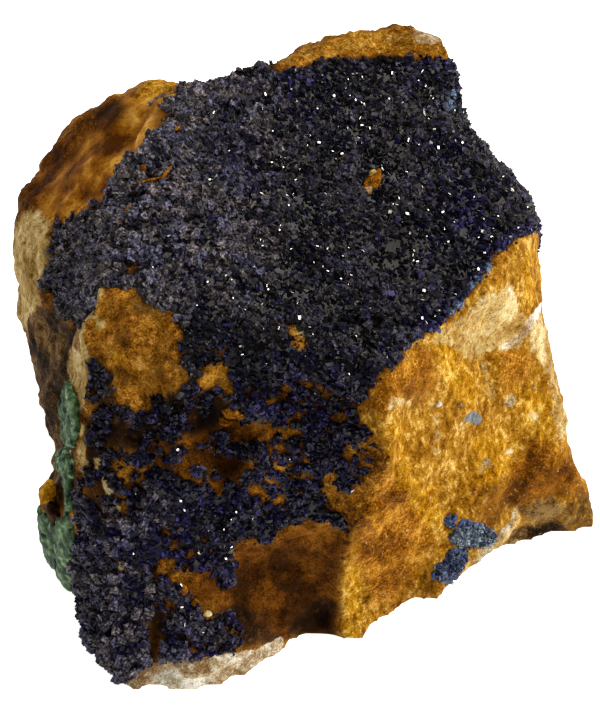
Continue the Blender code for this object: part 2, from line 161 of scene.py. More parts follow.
# Outlines of the stone's colours.
RIGHT_FACE = (
    (545, 222), (518, 236), (496, 257), (479, 284), (447, 318), (416, 337), (387, 368), (368, 392),
    (355, 411), (381, 435), (386, 457), (384, 474), (377, 496), (362, 512), (350, 530), (343, 556),
    (340, 576), (342, 609), (338, 650), (380, 640), (431, 612), (500, 560), (610, 540), (610, 490),
    (580, 430), (575, 360), (555, 300),
)
GOLD_PARTS = (
    ((428, 338), (446, 328), (462, 340), (476, 366), (482, 400), (472, 414), (452, 396), (436, 362)),
    ((388, 420), (402, 424), (412, 460), (430, 490), (446, 520), (430, 528), (406, 500), (390, 462)),
    ((346, 556), (360, 566), (368, 600), (356, 640), (342, 640), (343, 600)),
    ((522, 250), (536, 246), (540, 290), (528, 306), (520, 280)),
    ((470, 440), (500, 430), (520, 450), (505, 490), (480, 496)),
    ((518, 392), (536, 384), (552, 396), (556, 420), (540, 438), (522, 424)),
)
BACK_STRIP = ((250, 70), (300, 36), (350, 22), (410, 18), (444, 30), (450, 62), (410, 58), (340, 58))
ORANGE_PARTS = (
    ((386, 368), (416, 340), (432, 350), (440, 376), (434, 394), (410, 398), (388, 404), (368, 412),
     (360, 404)),
    ((490, 506), (506, 470), (530, 440), (566, 446), (580, 475), (590, 497), (560, 500), (524, 508)),
    ((494, 348), (530, 346), (534, 378), (505, 384)), ((541, 306), (549, 306), (552, 392), (545, 392)),
    ((384, 470), (420, 486), (436, 540), (400, 600), (372, 612), (352, 560), (360, 512)),
    ((500, 250), (514, 246), (512, 262), (503, 276), (494, 278)),
    ((210, 456), (238, 450), (244, 478), (220, 486)),
)
UPPER_LEFT = (
    (30, 205), (60, 160), (100, 100), (165, 100), (175, 104), (150, 150), (118, 185), (108, 202), (56, 224),
)
FACE_BROWN = (
    ((466, 512), (486, 484), (512, 476), (536, 492), (530, 504), (506, 514), (490, 534), (474, 530)),
    ((402, 384), (424, 376), (438, 384), (436, 402), (420, 412), (404, 408)),
)
LOW_CORNER = (
    (544, 474), (560, 458), (574, 468), (584, 488), (568, 496), (550, 500), (530, 504), (536, 490),
)
PALE_PATCH = (
    (473, 306), (486, 296), (500, 290), (514, 284), (518, 298), (521, 311), (534, 320), (528, 334),
    (519, 347), (506, 352), (494, 353), (482, 352), (474, 362), (462, 360), (452, 346), (428, 342),
    (444, 330), (458, 318),
)
GREEN_QUARTZ = ((484, 300), (500, 290), (515, 287), (520, 312), (504, 330), (486, 330))
GREY_BAND = ((460, 326), (480, 340), (490, 362), (494, 398), (486, 400), (478, 360))
RIGHT_RIM = (
    (538, 300), (548, 300), (566, 380), (572, 440), (558, 440), (550, 390), (538, 366), (526, 350),
    (528, 332),
)
PALE_LEDGE = (
    ((558, 501), (585, 492), (604, 490), (606, 530), (570, 534), (556, 520)),
    ((518, 509), (524, 516), (508, 536), (492, 552), (472, 572), (450, 590), (440, 596), (460, 570),
     (478, 552), (498, 538)),
)
LEDGE_SHADE = (
    ((516, 509), (552, 500), (562, 502), (560, 520), (540, 524), (522, 520)),
    ((500, 536), (522, 522), (560, 520), (572, 534), (540, 540), (504, 552)),
)
QUARTZ_LENS = (
    (122, 678), (154, 665), (167, 660), (202, 658), (229, 652), (253, 649), (270, 643), (282, 637),
    (286, 642), (274, 664), (242, 690), (190, 705), (130, 700),
)
WHITE_VEINS = (
    ((548, 296), (542, 306), (537, 318), (527, 334), (514, 345), (503, 350), (500, 346), (512, 339),
     (520, 329), (528, 315), (538, 302)),
    ((509, 279), (511, 279), (513, 296), (511, 296)),
    ((519, 508), (521, 510), (505, 530), (489, 546), (473, 564), (461, 579), (459, 577), (471, 562),
     (487, 544), (503, 528)),
)
CREAM_EDGE = (
    (0, 235), (30, 205), (50, 224), (50, 255), (42, 288), (44, 306), (30, 320), (34, 360), (0, 360),
)
CREAM_FLANK = (
    ((66, 350), (76, 344), (84, 350), (86, 366), (84, 384), (88, 404), (78, 410), (70, 386)),
    ((76, 440), (82, 440), (88, 470), (82, 480), (76, 462)),
)
CREAM_LUMP = ((120, 86), (145, 74), (170, 72), (200, 82), (186, 98), (160, 103), (138, 100))
CREAM_STREAKS = (
    ((95, 458), (101, 460), (99, 472), (95, 468)),
    ((102, 478), (109, 477), (116, 500), (114, 507), (107, 498)),
    ((115, 503), (121, 506), (123, 516), (118, 514)), ((117, 562), (123, 563), (122, 585), (118, 578)),
    ((76, 421), (84, 423), (82, 436), (77, 434)), ((66, 443), (72, 450), (70, 460), (66, 454)),
)
CREAM_LIP = (
    (106, 291), (110, 295), (98, 311), (90, 325), (88, 338), (90, 352), (92, 366), (91, 396), (88, 412),
    (83, 404), (80, 384), (84, 366), (85, 352), (82, 343), (82, 328), (94, 308),
)
BACK_CHIP = ((412, 18), (440, 18), (442, 40), (436, 46), (414, 44))
BACK_LINE = ((386, 34), (410, 35), (410, 40), (388, 40))
DARK_BANDS = (
    ((97, 118), (108, 103), (134, 102), (134, 112), (120, 118)),
    ((153, 114), (168, 108), (170, 132), (152, 140)),
)
# The left flank's recess: dark brown stone, darkened further as painted shade under the front block's edge.
SHADED_RECESS = (
    (14, 300), (46, 306), (62, 316), (84, 330), (84, 372), (84, 408), (80, 440), (76, 470), (60, 500),
    (44, 480), (30, 400),
)
LOWER_BROWN = (
    (184, 577), (208, 570), (230, 552), (237, 540), (275, 539), (282, 526), (310, 520), (332, 522),
    (343, 533), (344, 560), (340, 600), (341, 640), (300, 640), (284, 646), (243, 648), (242, 628),
    (232, 616), (213, 611), (193, 604),
)
CLUSTER_PARTS = (
    ((457, 526), (466, 521), (482, 524), (495, 532), (494, 542), (484, 547), (466, 546), (452, 544),
     (450, 534)),
    ((452, 549), (464, 548), (470, 556), (462, 568), (456, 580), (446, 583), (432, 577), (436, 566),
     (446, 557)),
    ((444, 517), (450, 514), (456, 517), (456, 525), (450, 528), (444, 524)),
)
# Round spots: x, y and radius.
GREY_SPOTS = ((475, 418, 7), (352, 188, 9), (535, 388, 3))
PALE_SPOTS = (
    (511, 401, 7), (533, 416, 6), (560, 422, 7), (436, 420, 5), (437, 436, 5), (434, 450, 5), (464, 428, 4),
    (391, 401, 5), (400, 402, 6), (408, 404, 4), (487, 463, 5), (509, 452, 5), (562, 385, 6), (556, 350, 7),
    (480, 470, 4), (366, 195, 4), (101, 325, 6), (300, 330, 6), (284, 334, 5),
)
GOLD_SPOTS = ((101, 324, 9), (119, 357, 8), (161, 324, 5), (370, 506, 9), (380, 510, 7))
# Pale blue azurite at the crust's edges; the two spots on the cluster's upper lobe are painted sparkle.
PALE_AZURITE_AND_SPARKLE = (
    (474, 285, 3.5), (480, 277, 4), (487, 269, 4), (494, 261, 3.5), (500, 252, 3), (452, 312, 3.5),
    (460, 304, 3.5), (454, 95, 5), (450, 106, 4), (456, 537, 6), (453, 545, 5),
)
# Round areas of the crust that look bluer: x, y and radius.
HAZES = ((226, 148, 50), (250, 178, 26), (470, 212, 34), (300, 70, 30), (430, 336, 30))
# Deep brown stone; the hollow beside the front ridge and the spots in the left recess are painted shade.
DEEP_BROWN_AND_SHADE = (
    ((286, 634), (292, 618), (304, 606), (316, 596), (330, 594), (340, 600), (341, 612), (332, 622),
     (338, 634), (318, 630), (300, 640)),
    ((196, 610), (236, 606), (258, 612), (272, 626), (284, 640), (244, 652), (232, 632)),
    ((92, 372), (112, 384), (117, 402), (130, 412), (146, 408), (170, 396), (206, 392), (238, 402),
     (234, 420), (196, 438), (150, 446), (140, 456), (112, 448), (94, 430)),
    ((84, 420), (100, 414), (112, 440), (104, 470), (120, 500), (134, 524), (120, 530), (96, 520),
     (84, 480)),
    STRIPE, ((44, 306), (56, 308), (62, 330), (54, 350), (46, 340)),
    ((42, 386), (60, 384), (62, 440), (58, 470), (46, 450)), ((44, 508), (62, 504), (66, 528), (52, 532)),
)
MALACHITE = (
    ((63, 384), (70, 380), (78, 400), (80, 425), (76, 446), (70, 450), (64, 440), (61, 410)),
    ((60, 452), (70, 446), (75, 470), (72, 500), (66, 500), (66, 478), (56, 468)),
    ((38, 515), (48, 511), (58, 522), (66, 514), (68, 496), (76, 508), (80, 522), (76, 540), (77, 580),
     (68, 592), (56, 574), (42, 552), (34, 530)),
)

# Relief: lines in picture points, each with a half width and a height in millimetres.
RIDGES = (
    (((384, 402), (386, 457), (378, 480), (346, 540), (341, 575), (343, 612), (338, 640)), 0.9, 0.7),
    (((108, 292), (98, 312), (88, 325), (86, 350), (91, 373), (90, 405)), 0.4, 0.55),
    (((165, 111), (149, 148), (129, 164), (117, 182), (112, 230), (110, 290)), 1.6, 0.5),
    (((196, 344), (226, 352), (250, 340), (300, 322)), 0.8, 0.25),
    (((440, 323), (463, 327), (481, 341), (490, 362), (491, 386)), 0.25, -0.2),
    (((496, 345), (511, 342), (532, 314), (539, 299)), 0.3, 0.25),
    (((498, 256), (492, 272), (478, 300)), 0.35, -0.45),
    (((518, 518), (497, 541), (480, 556), (462, 574), (446, 590)), 0.45, 0.4),
    (((552, 500), (530, 506), (516, 512)), 0.6, -0.5),
)
# Nudges of the eased shape: x, y and reach, then how far right and how far down, in pixels.
NUDGES = (
    (98, 97, 26, 3, 13), (203, 70, 24, 0, 15), (466, 92, 26, -7, 3), (483, 140, 12, 6, -4),
    (502, 160, 14, -4, 4), (532, 206, 12, 5, -2), (545, 246, 12, -7, 0), (16, 270, 40, -3, 0),
    (572, 430, 24, -9, 0), (580, 464, 12, -4, 7), (62, 596, 22, 12, -2), (105, 668, 24, -9, 2),
    (356, 632, 16, 3, 9), (434, 588, 18, 4, 10), (316, 36, 14, 0, 7), (441, 44, 12, 4, -4),
)
# Bosses and hollows: x, y and radius in pixels, and the height in millimetres.
BOSSES = (
    (101, 326, 9, 0.35), (370, 192, 18, -0.6), (322, 610, 26, -0.45), (302, 624, 20, -0.35),
    (255, 575, 26, -0.4), (372, 506, 14, 0.4), (150, 80, 24, 0.4), (350, 632, 16, 0.9),
    (498, 400, 10, 0.25), (440, 455, 26, 0.3), (520, 470, 26, -0.5), (416, 365, 20, 0.3),
    (60, 400, 12, -0.4),
)

# Grains of stone on it or in the crust: x, y, long and short radius, turn in degrees, rise in mm, kind.
GRAINS = (
    (373, 183, 11, 6, 65, 0.4, "orange"), (366, 195, 5, 4, 60, 0.5, "quartz"),
    (376, 176, 5, 4, 65, 0.45, "pale"), (233, 412, 9, 8, 0, 0.2, "orange"),
    (226, 420, 6, 5, 20, 0.1, "orange"), (55, 493, 13, 12, 60, 0.95, "gold"),
    (55, 514, 11, 9, 60, 0.1, "deep"), (208, 613, 4, 3, 0, 0.15, "pale"),
    (183, 590, 4, 6, 0, 0.1, "orange"), (195, 602, 4, 4, 0, 0.1, "orange"),
    (511, 401, 6, 5, 0, 0.0, "quartz"), (438, 404, 3, 3, 0, 0.1, "quartz"),
    (371, 507, 10, 8, 0, 0.0, "orange"), (558, 420, 6, 7, 0, 0.0, "pale"),
    (460, 404, 3, 3, 0, 0.0, "quartz"), (487, 463, 4, 3, 0, 0.0, "quartz"),
    (148, 182, 18, 1.6, 5, 0.35, "orange"), (168, 172, 9, 2, 68, 0.35, "orange"),
    (143, 170, 6, 3, 80, 0.3, "brown"), (178, 132, 7, 3, 10, 0.35, "orange"),
    (154, 276, 4, 3, 20, 0.35, "orange"), (131, 210, 4, 2, 60, 0.3, "brown"),
)
# Crystal faces that throw the light at the camera: x and y.
GLINTS = (
    (350, 96), (430, 96), (356, 75), (297, 165), (404, 173), (334, 160), (390, 74), (182, 512), (214, 516),
    (222, 531), (181, 586), (182, 609), (200, 632), (97, 619), (128, 576), (132, 554), (338, 127),
    (345, 128), (361, 143), (360, 126), (261, 245), (311, 262), (305, 240), (278, 230), (395, 205),
    (287, 206), (307, 146), (316, 143),
)


# ---------------------------------------------------------------- noise and outlines

def smoothstep(low, high, value):
    share = np.clip((value - low) / (high - low), 0.0, 1.0)
    return share * share * (3 - 2 * share)


def lattice(cells, salt):
    """A steady number from 0 to 1 for each cell of a lattice."""
    mixed = cells[..., 0] * 73856093 ^ cells[..., 1] * 19349663 ^ cells[..., 2] * 83492791 ^ salt * 40503
    mixed = (mixed ^ (mixed >> 13)) * 1274126177
    mixed = (mixed ^ (mixed >> 16)) * 668265263
    return ((mixed ^ (mixed >> 15)) & 0xFFFFFF) / float(0x1000000)


def wave(points, size, salt):
    """Smooth noise from -1 to 1, with swells of about this size."""
    scaled = points / size
    cell = np.floor(scaled).astype(np.int64)
    part = scaled - cell
    part = part * part * (3 - 2 * part)
    total = np.zeros(len(points))
    for corner in itertools.product((0, 1), repeat=3):
        weight = np.prod(np.where(np.array(corner) == 1, part, 1 - part), axis=1)
        total += weight * lattice(cell + np.array(corner), salt)
    return 2 * total - 1


def fractal(points, size, salt, octaves=3):
    total = sum(wave(points, size / 2 ** k, salt + 7 * k) / 2 ** k for k in range(octaves))
    return total / sum(1 / 2 ** k for k in range(octaves))


def cobbles(points, size, salt):
    """Distances, in cells, to the nearest and the next of scattered points, and the nearest's number."""
    scaled = points / size
    cell = np.floor(scaled).astype(np.int64)
    nearest = np.full(len(points), 9.0)
    second = np.full(len(points), 9.0)
    number = np.zeros(len(points))
    for step in itertools.product((-1, 0, 1), repeat=3):
        other = cell + np.array(step)
        spot = other + np.stack([lattice(other, salt + k) for k in range(3)], axis=1)
        reach = np.linalg.norm(spot - scaled, axis=1)
        closer = reach < nearest
        second = np.where(closer, nearest, np.minimum(second, reach))
        number = np.where(closer, lattice(other, salt + 5), number)
        nearest = np.where(closer, reach, nearest)
    return nearest, second, number


def to_picture(points):
    """Where points are seen in the picture, in pixels."""
    away = points - EYE
    depth = -(away @ TOWARDS_CAMERA)
    scale = CAMERA_DISTANCE / PIXEL / depth
    across = PICTURE_WIDTH / 2 + scale * (away @ PICTURE_RIGHT)
    down = PICTURE_HEIGHT / 2 - scale * (away @ PICTURE_UP)
    return np.stack([across, down], axis=1)


def reach_inside(spots, outline):
    """The distance from each picture point to an outline, in millimetres, positive inside."""
    corners = np.array(outline, float)
    x, y = spots[:, 0], spots[:, 1]
    nearest = np.full(len(spots), np.inf)
    inside = np.zeros(len(spots), bool)
    for (ax, ay), (bx, by) in zip(corners, np.roll(corners, -1, axis=0)):
        ex, ey = bx - ax, by - ay
        along = np.clip(((x - ax) * ex + (y - ay) * ey) / (ex * ex + ey * ey), 0, 1)
        nearest = np.minimum(nearest, (x - ax - along * ex) ** 2 + (y - ay - along * ey) ** 2)
        if ay != by:
            inside ^= ((ay > y) != (by > y)) & (x < ex * (y - ay) / ey + ax)
    return np.where(inside, 1, -1) * np.sqrt(nearest) * PIXEL


def reach_line(spots, line):
    """The distance from each picture point to a line of points, in millimetres."""
    corners = np.array(line, float)
    nearest = np.full(len(spots), np.inf)
    for start, end in zip(corners[:-1], corners[1:]):
        step = end - start
        along = np.clip((spots - start) @ step / (step @ step), 0, 1)
        nearest = np.minimum(nearest, np.linalg.norm(spots - start - along[:, None] * step, axis=1))
    return nearest * PIXEL


def reach_any(spots, outlines):
    """As reach_inside, for the nearest of several outlines."""
    return np.max([reach_inside(spots, outline) for outline in outlines], axis=0)


def gap_to(spots, x, y):
    """The distance of each picture point from one place, in pixels."""
    return np.hypot(spots[:, 0] - x, spots[:, 1] - y)


def reach_round(spots, circles):
    """As reach_any, for round spots of x, y and radius."""
    return np.max([(radius - gap_to(spots, x, y)) * PIXEL for x, y, radius in circles], axis=0)


def shown_share(facing):
    """1 where a face turns enough to the camera to follow an outline, falling to 0 where it turns away."""
    return smoothstep(FACING_FROM, FACING_TO, facing)


def unit(rows):
    """Rows of three numbers as directions."""
    return rows / np.linalg.norm(rows, axis=1)[:, None]


# ---------------------------------------------------------------- mesh arrays

def read(items, key, width, kind=np.float32):
    flat = np.empty(len(items) * width, kind)
    items.foreach_get(key, flat)
    return flat.reshape(-1, width)


def read_points(mesh):
    return read(mesh.vertices, "co", 3).astype(float) / MM


def write_points(mesh, points):
    mesh.vertices.foreach_set("co", (points * MM).astype(np.float32).ravel())
    mesh.update()


def read_normals(mesh):
    return read(mesh.vertex_normals, "vector", 3).astype(float)


def read_edges(mesh):
    return read(mesh.edges, "vertices", 2, np.int32)


def read_triangles(mesh):
    mesh.calc_loop_triangles()
    return read(mesh.loop_triangles, "vertices", 3, np.int32)


def read_surface(mesh):
    return read_points(mesh), read_normals(mesh), read_triangles(mesh)


def over(triangles, values):
    """The mean of a value over each triangle's corners."""
    return values[triangles].mean(axis=1)


def doubled_areas(points, triangles):
    a, b, c = (points[triangles[:, k]] for k in range(3))
    return np.linalg.norm(np.cross(b - a, c - a), axis=1)


def averaged(values, edges, rounds):
    """Values pulled halfway to those of their neighbours, a few times over."""
    count = np.bincount(edges.ravel(), minlength=len(values)).astype(float)
    values = values.reshape(len(count), -1).astype(float)
    for _ in range(rounds):
        total = np.stack([
            np.bincount(edges[:, 0], weights=column[edges[:, 1]], minlength=len(count))
            + np.bincount(edges[:, 1], weights=column[edges[:, 0]], minlength=len(count))
            for column in values.T
        ], axis=1)
        values = values + 0.5 * (total / count[:, None] - values)
    return values


def store(mesh, shares):
    """Keeps a number from 0 to 1 on each of the mesh's points, by name."""
    for key, values in shares.items():
        layer = mesh.attributes.new(key, "FLOAT", "POINT")
        layer.data.foreach_set("value", np.clip(values, 0, 1).astype(np.float32))


def take(mesh, key):
    """Reads such numbers and removes them from the mesh."""
    values = np.empty(len(mesh.vertices), np.float32)
    mesh.attributes[key].data.foreach_get("value", values)
    mesh.attributes.remove(mesh.attributes[key])
    return values


def make_mesh(name, points, faces, shares=None, smooth=False):
    mesh = bpy.data.meshes.new(name)
    mesh.from_pydata((points * MM).tolist(), [], faces.tolist())
    store(mesh, shares or {})
    mesh.polygons.foreach_set("use_smooth", [smooth] * len(mesh.polygons))
    mesh.update()
    return mesh


def add_piece(name, mesh, material, node):
    """Adds a mesh as a piece of the specimen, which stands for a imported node."""
    piece = bpy.data.objects.new(name, mesh)
    bpy.context.scene.collection.objects.link(piece)
    mesh.materials.clear()
    mesh.materials.append(material)
    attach(piece, "root")
    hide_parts(node)


# ---------------------------------------------------------------- the finish of each mineral

def srgb(red, green, blue):
    """A colour given in 0 to 255 screen values, as the shader's own linear colour."""
    def linear(value):
        value /= 255
        return value / 12.92 if value <= 0.04045 else ((value + 0.055) / 1.055) ** 2.4
    return linear(red), linear(green), linear(blue), 1.0


class Finish:
    """A material's nodes, with sizes in millimetres."""

    def __init__(self, name):
        self.material = bpy.data.materials.new(name)
        self.material.use_nodes = True
        self.tree = self.material.node_tree
        self.shader = self.tree.nodes["Principled BSDF"]
        place = self.tree.nodes.new("ShaderNodeTexCoord").outputs["Object"]
        self.place = self.node("ShaderNodeVectorMath", 0, {0: place, "Scale": 1 / MM}, operation="SCALE")

    def link(self, value, socket):
        if isinstance(value, bpy.types.NodeSocket):
            self.tree.links.new(value, socket)
        else:
            socket.default_value = value

    def node(self, kind, output, inputs, **settings):
        """Adds a node, with its settings and the values of its inputs, and gives one of its outputs."""
        node = self.tree.nodes.new(kind)
        for name, value in settings.items():
            setattr(node, name, value)
        for name, value in inputs.items():
            self.link(value, node.inputs[name])
        return node.outputs[output]

    def math(self, operation, first, second=0.0, third=0.0):
        return self.node("ShaderNodeMath", 0, {0: first, 1: second, 2: third}, operation=operation)

    def noise(self, size, detail=2.0, stretch=(1, 1, 1), crisp=0.5):
        """Noise from 0 to 1 with swells of this size, drawn out along an axis by stretch."""
        place = self.node("ShaderNodeVectorMath", 0, {0: self.place, 1: stretch}, operation="DIVIDE")
        inputs = {"Vector": place, "Scale": 1 / size, "Detail": detail, "Roughness": crisp}
        return self.node("ShaderNodeTexNoise", "Fac", inputs)

    def cells(self, size):
        """The distance to the middle of the nearest cell of this size, from 0 to about 1."""
        return self.node("ShaderNodeTexVoronoi", "Distance", {"Vector": self.place, "Scale": 1 / size})

    def blend(self, *parts):
        """A sum of values, each with its weight."""
        total = 0.0
        for value, weight in parts:
            total = self.math("MULTIPLY_ADD", value, weight, total)
        return total

    def share(self, name):
        """A number stored on the mesh's points."""
        return self.node("ShaderNodeAttribute", "Fac", {}, attribute_name=name)

    def ragged(self, name, noise, rag, soft):
        """A stored share whose edge is broken up by noise."""
        shifted = self.math("MULTIPLY_ADD", noise, rag, -rag / 2)
        total = self.math("ADD", self.share(name), shifted)
        return self.steps(total, 0.5 - soft, 0.5 + soft)

    def steps(self, value, low, high):
        """As smoothstep, in nodes."""
        inputs = {"Value": value, "From Min": low, "From Max": high}
        return self.node("ShaderNodeMapRange", "Result", inputs, interpolation_type="SMOOTHSTEP")

    def ramp(self, value, *stops):
        """Colours at places from 0 to 1. A stop is its place, then its red, green and blue."""
        node = self.tree.nodes.new("ShaderNodeValToRGB")
        self.link(value, node.inputs["Fac"])
        line = node.color_ramp.elements
        while len(line) < len(stops):
            line.new(0.5)
        for element, (position, *colour) in zip(line, stops):
            element.position = position
            element.color = srgb(*colour)
        return node.outputs["Color"]

    def mix(self, share, first, second, blend="MIX"):
        inputs = {"Factor": share, "A": first, "B": second}
        return self.node("ShaderNodeMix", "Result", inputs, data_type="RGBA", blend_type=blend)

    def bump(self, height, distance):
        inputs = {"Height": height, "Distance": distance * MM, "Strength": 1.0}
        return self.node("ShaderNodeBump", "Normal", inputs)

    def finish(self, colour, roughness, normal=None, gloss=0.5):
        self.link(colour, self.shader.inputs["Base Color"])
        self.link(roughness, self.shader.inputs["Roughness"])
        self.shader.inputs["Specular IOR Level"].default_value = gloss
        if normal is not None:
            self.link(normal, self.shader.inputs["Normal"])
        return self.material


# The stone's tones, from dark to light. A stop is its place on the ramp, then its red, green and blue.
OCHRE = ((0.41, 54, 28, 4), (0.47, 98, 58, 8), (0.53, 138, 86, 16), (0.60, 192, 138, 52))
# The colours laid over the ochre, in order: the pattern that the tones follow, how far noise breaks up
# the colour's edge, how soft the edge is, and the tones.
STONE_COLOURS = {
    "bright": (
        "drawn", 0.9, 0.3,
        (0.40, 88, 46, 0), (0.47, 130, 84, 7), (0.53, 158, 110, 22), (0.61, 212, 174, 92),
    ),
    "orange": (
        "smoother", 1.4, 0.4,
        (0.41, 70, 34, 0), (0.47, 112, 64, 4), (0.53, 146, 90, 12), (0.61, 200, 146, 52),
    ),
    "tan": (
        "smoother", 1.0, 0.4,
        (0.41, 88, 48, 6), (0.47, 138, 86, 18), (0.53, 172, 116, 34), (0.60, 216, 164, 76),
    ),
    "gold": (
        "drawn", 1.2, 0.35,
        (0.40, 108, 62, 0), (0.47, 150, 100, 5), (0.53, 180, 128, 18), (0.61, 222, 184, 86),
    ),
    "brown": (
        "calm", 1.3, 0.4,
        (0.41, 32, 14, 0), (0.47, 64, 31, 2), (0.53, 96, 52, 5), (0.60, 140, 86, 18),
    ),
    "deep": ("calm", 1.3, 0.35, (0.40, 8, 3, 0), (0.47, 22, 10, 1), (0.53, 44, 24, 6), (0.61, 84, 54, 24)),
    "pale": (
        "calm", 1.2, 0.3,
        (0.40, 134, 100, 46), (0.47, 168, 138, 78), (0.53, 188, 162, 104), (0.61, 216, 198, 150),
    ),
    "green": ("mixed", 1.0, 0.35, (0.40, 130, 106, 54), (0.50, 162, 142, 88), (0.60, 192, 180, 132)),
    "quartz": (
        "calm", 0.8, 0.2,
        (0.41, 112, 80, 44), (0.47, 146, 120, 84), (0.52, 182, 166, 136), (0.59, 230, 224, 208),
    ),
    "dark": (
        "calm", 1.2, 0.3,
        (0.41, 12, 6, 2), (0.47, 42, 27, 10), (0.53, 82, 57, 27), (0.60, 138, 108, 64),
    ),
    "grey": ("grain", 0.9, 0.25, (0.42, 84, 88, 92), (0.58, 118, 120, 118)),
}
SPECK_TONES = ((0.0, 120, 90, 56), (1.0, 255, 255, 255))
SPECK_SHARE = 0.6
FLECK_COLOUR = (222, 196, 138)
FLECK_SHARE = 0.4


def stone_finish():
    """Ochre limonite over quartz, with browner, paler and darker parts."""
    look = Finish("limonite_quartz")
    broad = look.noise(4.0, detail=4.0)
    grain = look.noise(0.8, detail=6.0, crisp=0.68)
    fine = look.noise(0.2, detail=3.0, crisp=0.6)
    streak = look.noise(0.6, detail=5.0, stretch=(1, 1, 1.9), crisp=0.62)
    mixed = look.blend((broad, 0.35), (grain, 0.4), (fine, 0.25))
    calmer = look.math("SUBTRACT", look.blend((broad, 0.75), (grain, 0.2), (fine, 0.05)), mixed)
    patterns = {
        "mixed": mixed,
        "drawn": look.blend((broad, 0.25), (streak, 0.5), (fine, 0.25)),
        "calm": look.blend((broad, 0.5), (grain, 0.35), (fine, 0.15)),
        "smoother": look.math("MULTIPLY_ADD", look.share("smooth"), calmer, mixed),
        "grain": grain,
    }
    colour = look.ramp(mixed, *OCHRE)
    for name, (pattern, rag, edge, *tones) in STONE_COLOURS.items():
        colour = look.mix(look.ragged(name, grain, rag, edge), colour, look.ramp(patterns[pattern], *tones))
    specks = look.steps(look.noise(0.36, detail=3.0, crisp=0.7), 0.36, 0.44)
    colour = look.mix(SPECK_SHARE, colour, look.ramp(specks, *SPECK_TONES), "MULTIPLY")
    flecks = look.steps(look.noise(0.5, detail=4.0, stretch=(1, 1, 1.6), crisp=0.75), 0.61, 0.68)
    flecks = look.math("MULTIPLY", flecks, look.math("MULTIPLY", look.share("bright"), FLECK_SHARE))
    colour = look.mix(flecks, colour, srgb(*FLECK_COLOUR))
    height = look.blend((streak, 0.45), (grain, 0.3), (fine, 0.25))
    height = look.math("MULTIPLY", height, look.math("MULTIPLY_ADD", look.share("smooth"), -0.7, 1.0))
    roughness = look.math("MULTIPLY_ADD", look.share("deep"), -0.2, 0.75)
    return look.finish(colour, roughness, look.bump(height, 0.2), gloss=0.03)


# The azurite's screen colours, each from its darkest tone to its lightest.
DRUSE_DEEP = ((1, 1, 3), (12, 11, 19))
DRUSE_BLUE = ((5, 4, 24), (19, 15, 62), (54, 50, 122))
DRUSE_PALE = ((60, 84, 130), (168, 196, 216))
ROSETTE_DEEP = ((14, 18, 26), (74, 84, 94))
ROSETTE_BLUE = ((6, 8, 26), (20, 28, 66), (58, 78, 128))
# The rosette's pale tones are painted highlights on its blades.
ROSETTE_HIGHLIGHT = ((66, 82, 104), (184, 200, 206))
GLINT_DEEP = ((30, 28, 26), (40, 38, 34))
# The grey of dust on the crystals, which also paints their sheen.
DUST_AND_SHEEN_GREY = ((0.38, 36, 31, 32), (0.5, 82, 74, 76), (0.62, 146, 134, 134))
DUST_AND_SHEEN_BLUISH = ((0.38, 32, 31, 40), (0.5, 72, 70, 88), (0.62, 126, 125, 152))
DRUSE_GLOSS, GLINT_GLOSS = 0.26, 0.8
AZURITE_TINT = (1.0, 0.93, 0.8, 1.0)    # the crystals' highlights are warm
MALACHITE_TONES = ((0.36, 22, 44, 18), (0.46, 46, 78, 42), (0.54, 76, 112, 66), (0.66, 142, 168, 118))
MALACHITE_SHADE = ((0.0, 255, 255, 255), (0.8, 130, 140, 130))


def azurite_finish(name, deep, blue, pale, gloss=DRUSE_GLOSS):
    """Near-black blue crystals, bluer in places, and grey in others with dust and a painted sheen."""
    look = Finish(name)
    fine = look.noise(0.25, detail=3.0, crisp=0.6)
    tone = look.share("tone")
    deep = look.ramp(tone, (0.0, *deep[0]), (1.0, *deep[1]))
    blue = look.ramp(tone, (0.0, *blue[0]), (0.5, *blue[1]), (1.0, *blue[2]))
    pale = look.ramp(fine, (0.38, *pale[0]), (0.62, *pale[1]))
    bluish = look.steps(look.noise(1.6, detail=3.0), 0.46, 0.6)
    # The grey of dust, standing in also for the crystals' sheen.
    dust_and_sheen = look.mix(bluish, look.ramp(fine, *DUST_AND_SHEEN_GREY), look.ramp(fine, *DUST_AND_SHEEN_BLUISH))
    colour = look.mix(look.share("blue"), deep, blue)
    colour = look.mix(look.share("dust_and_sheen"), colour, dust_and_sheen)
    colour = look.mix(look.share("pale"), colour, pale)
    rough = look.math("MULTIPLY_ADD", look.steps(tone, 0.03, 0.09), 0.36, 0.08)
    roughness = look.math("MULTIPLY_ADD", look.share("dust_and_sheen"), 0.5, rough)
    look.shader.inputs["Specular Tint"].default_value = AZURITE_TINT
    return look.finish(colour, roughness, look.bump(fine, 0.012), gloss=gloss)


def malachite_finish():
    look = Finish("malachite")
    nub = look.cells(0.4)
    colour = look.ramp(look.noise(0.9, detail=6.0), *MALACHITE_TONES)
    colour = look.mix(0.6, colour, look.ramp(nub, *MALACHITE_SHADE), "MULTIPLY")
    return look.finish(colour, 0.6, look.bump(nub, -0.1), gloss=0.2)


# ---------------------------------------------------------------- the ground that the minerals share

# Grounds with gaps, and the share of each that they take.
GAPPED_GROUNDS = (
    (LOOSE_GROUND, 0.3), (STREAKED_GROUND, 0.42), (LOW_GROUND, 0.24), (CLUSTERED_GROUND, 0.42),
)
WINDOWS = (OCHRE_WINDOW, BROWN_WINDOW, SECOND_PATCH, SCAR, STRIPE)
CLUMP_SIZE = 0.8
CLUMP_STRETCH = np.array((1.35, 1.0, 1.0))


def clumps(points):
    """How far each point lies inside its clump of crystals, from 0 to 1, and that clump's random number."""
    bent = points / CLUMP_STRETCH + 0.3 * wave(points, 0.8, 521)[:, None]
    near, second, number = cobbles(bent, CLUMP_SIZE, 531)
    return smoothstep(0.02, 0.3, second - near), number


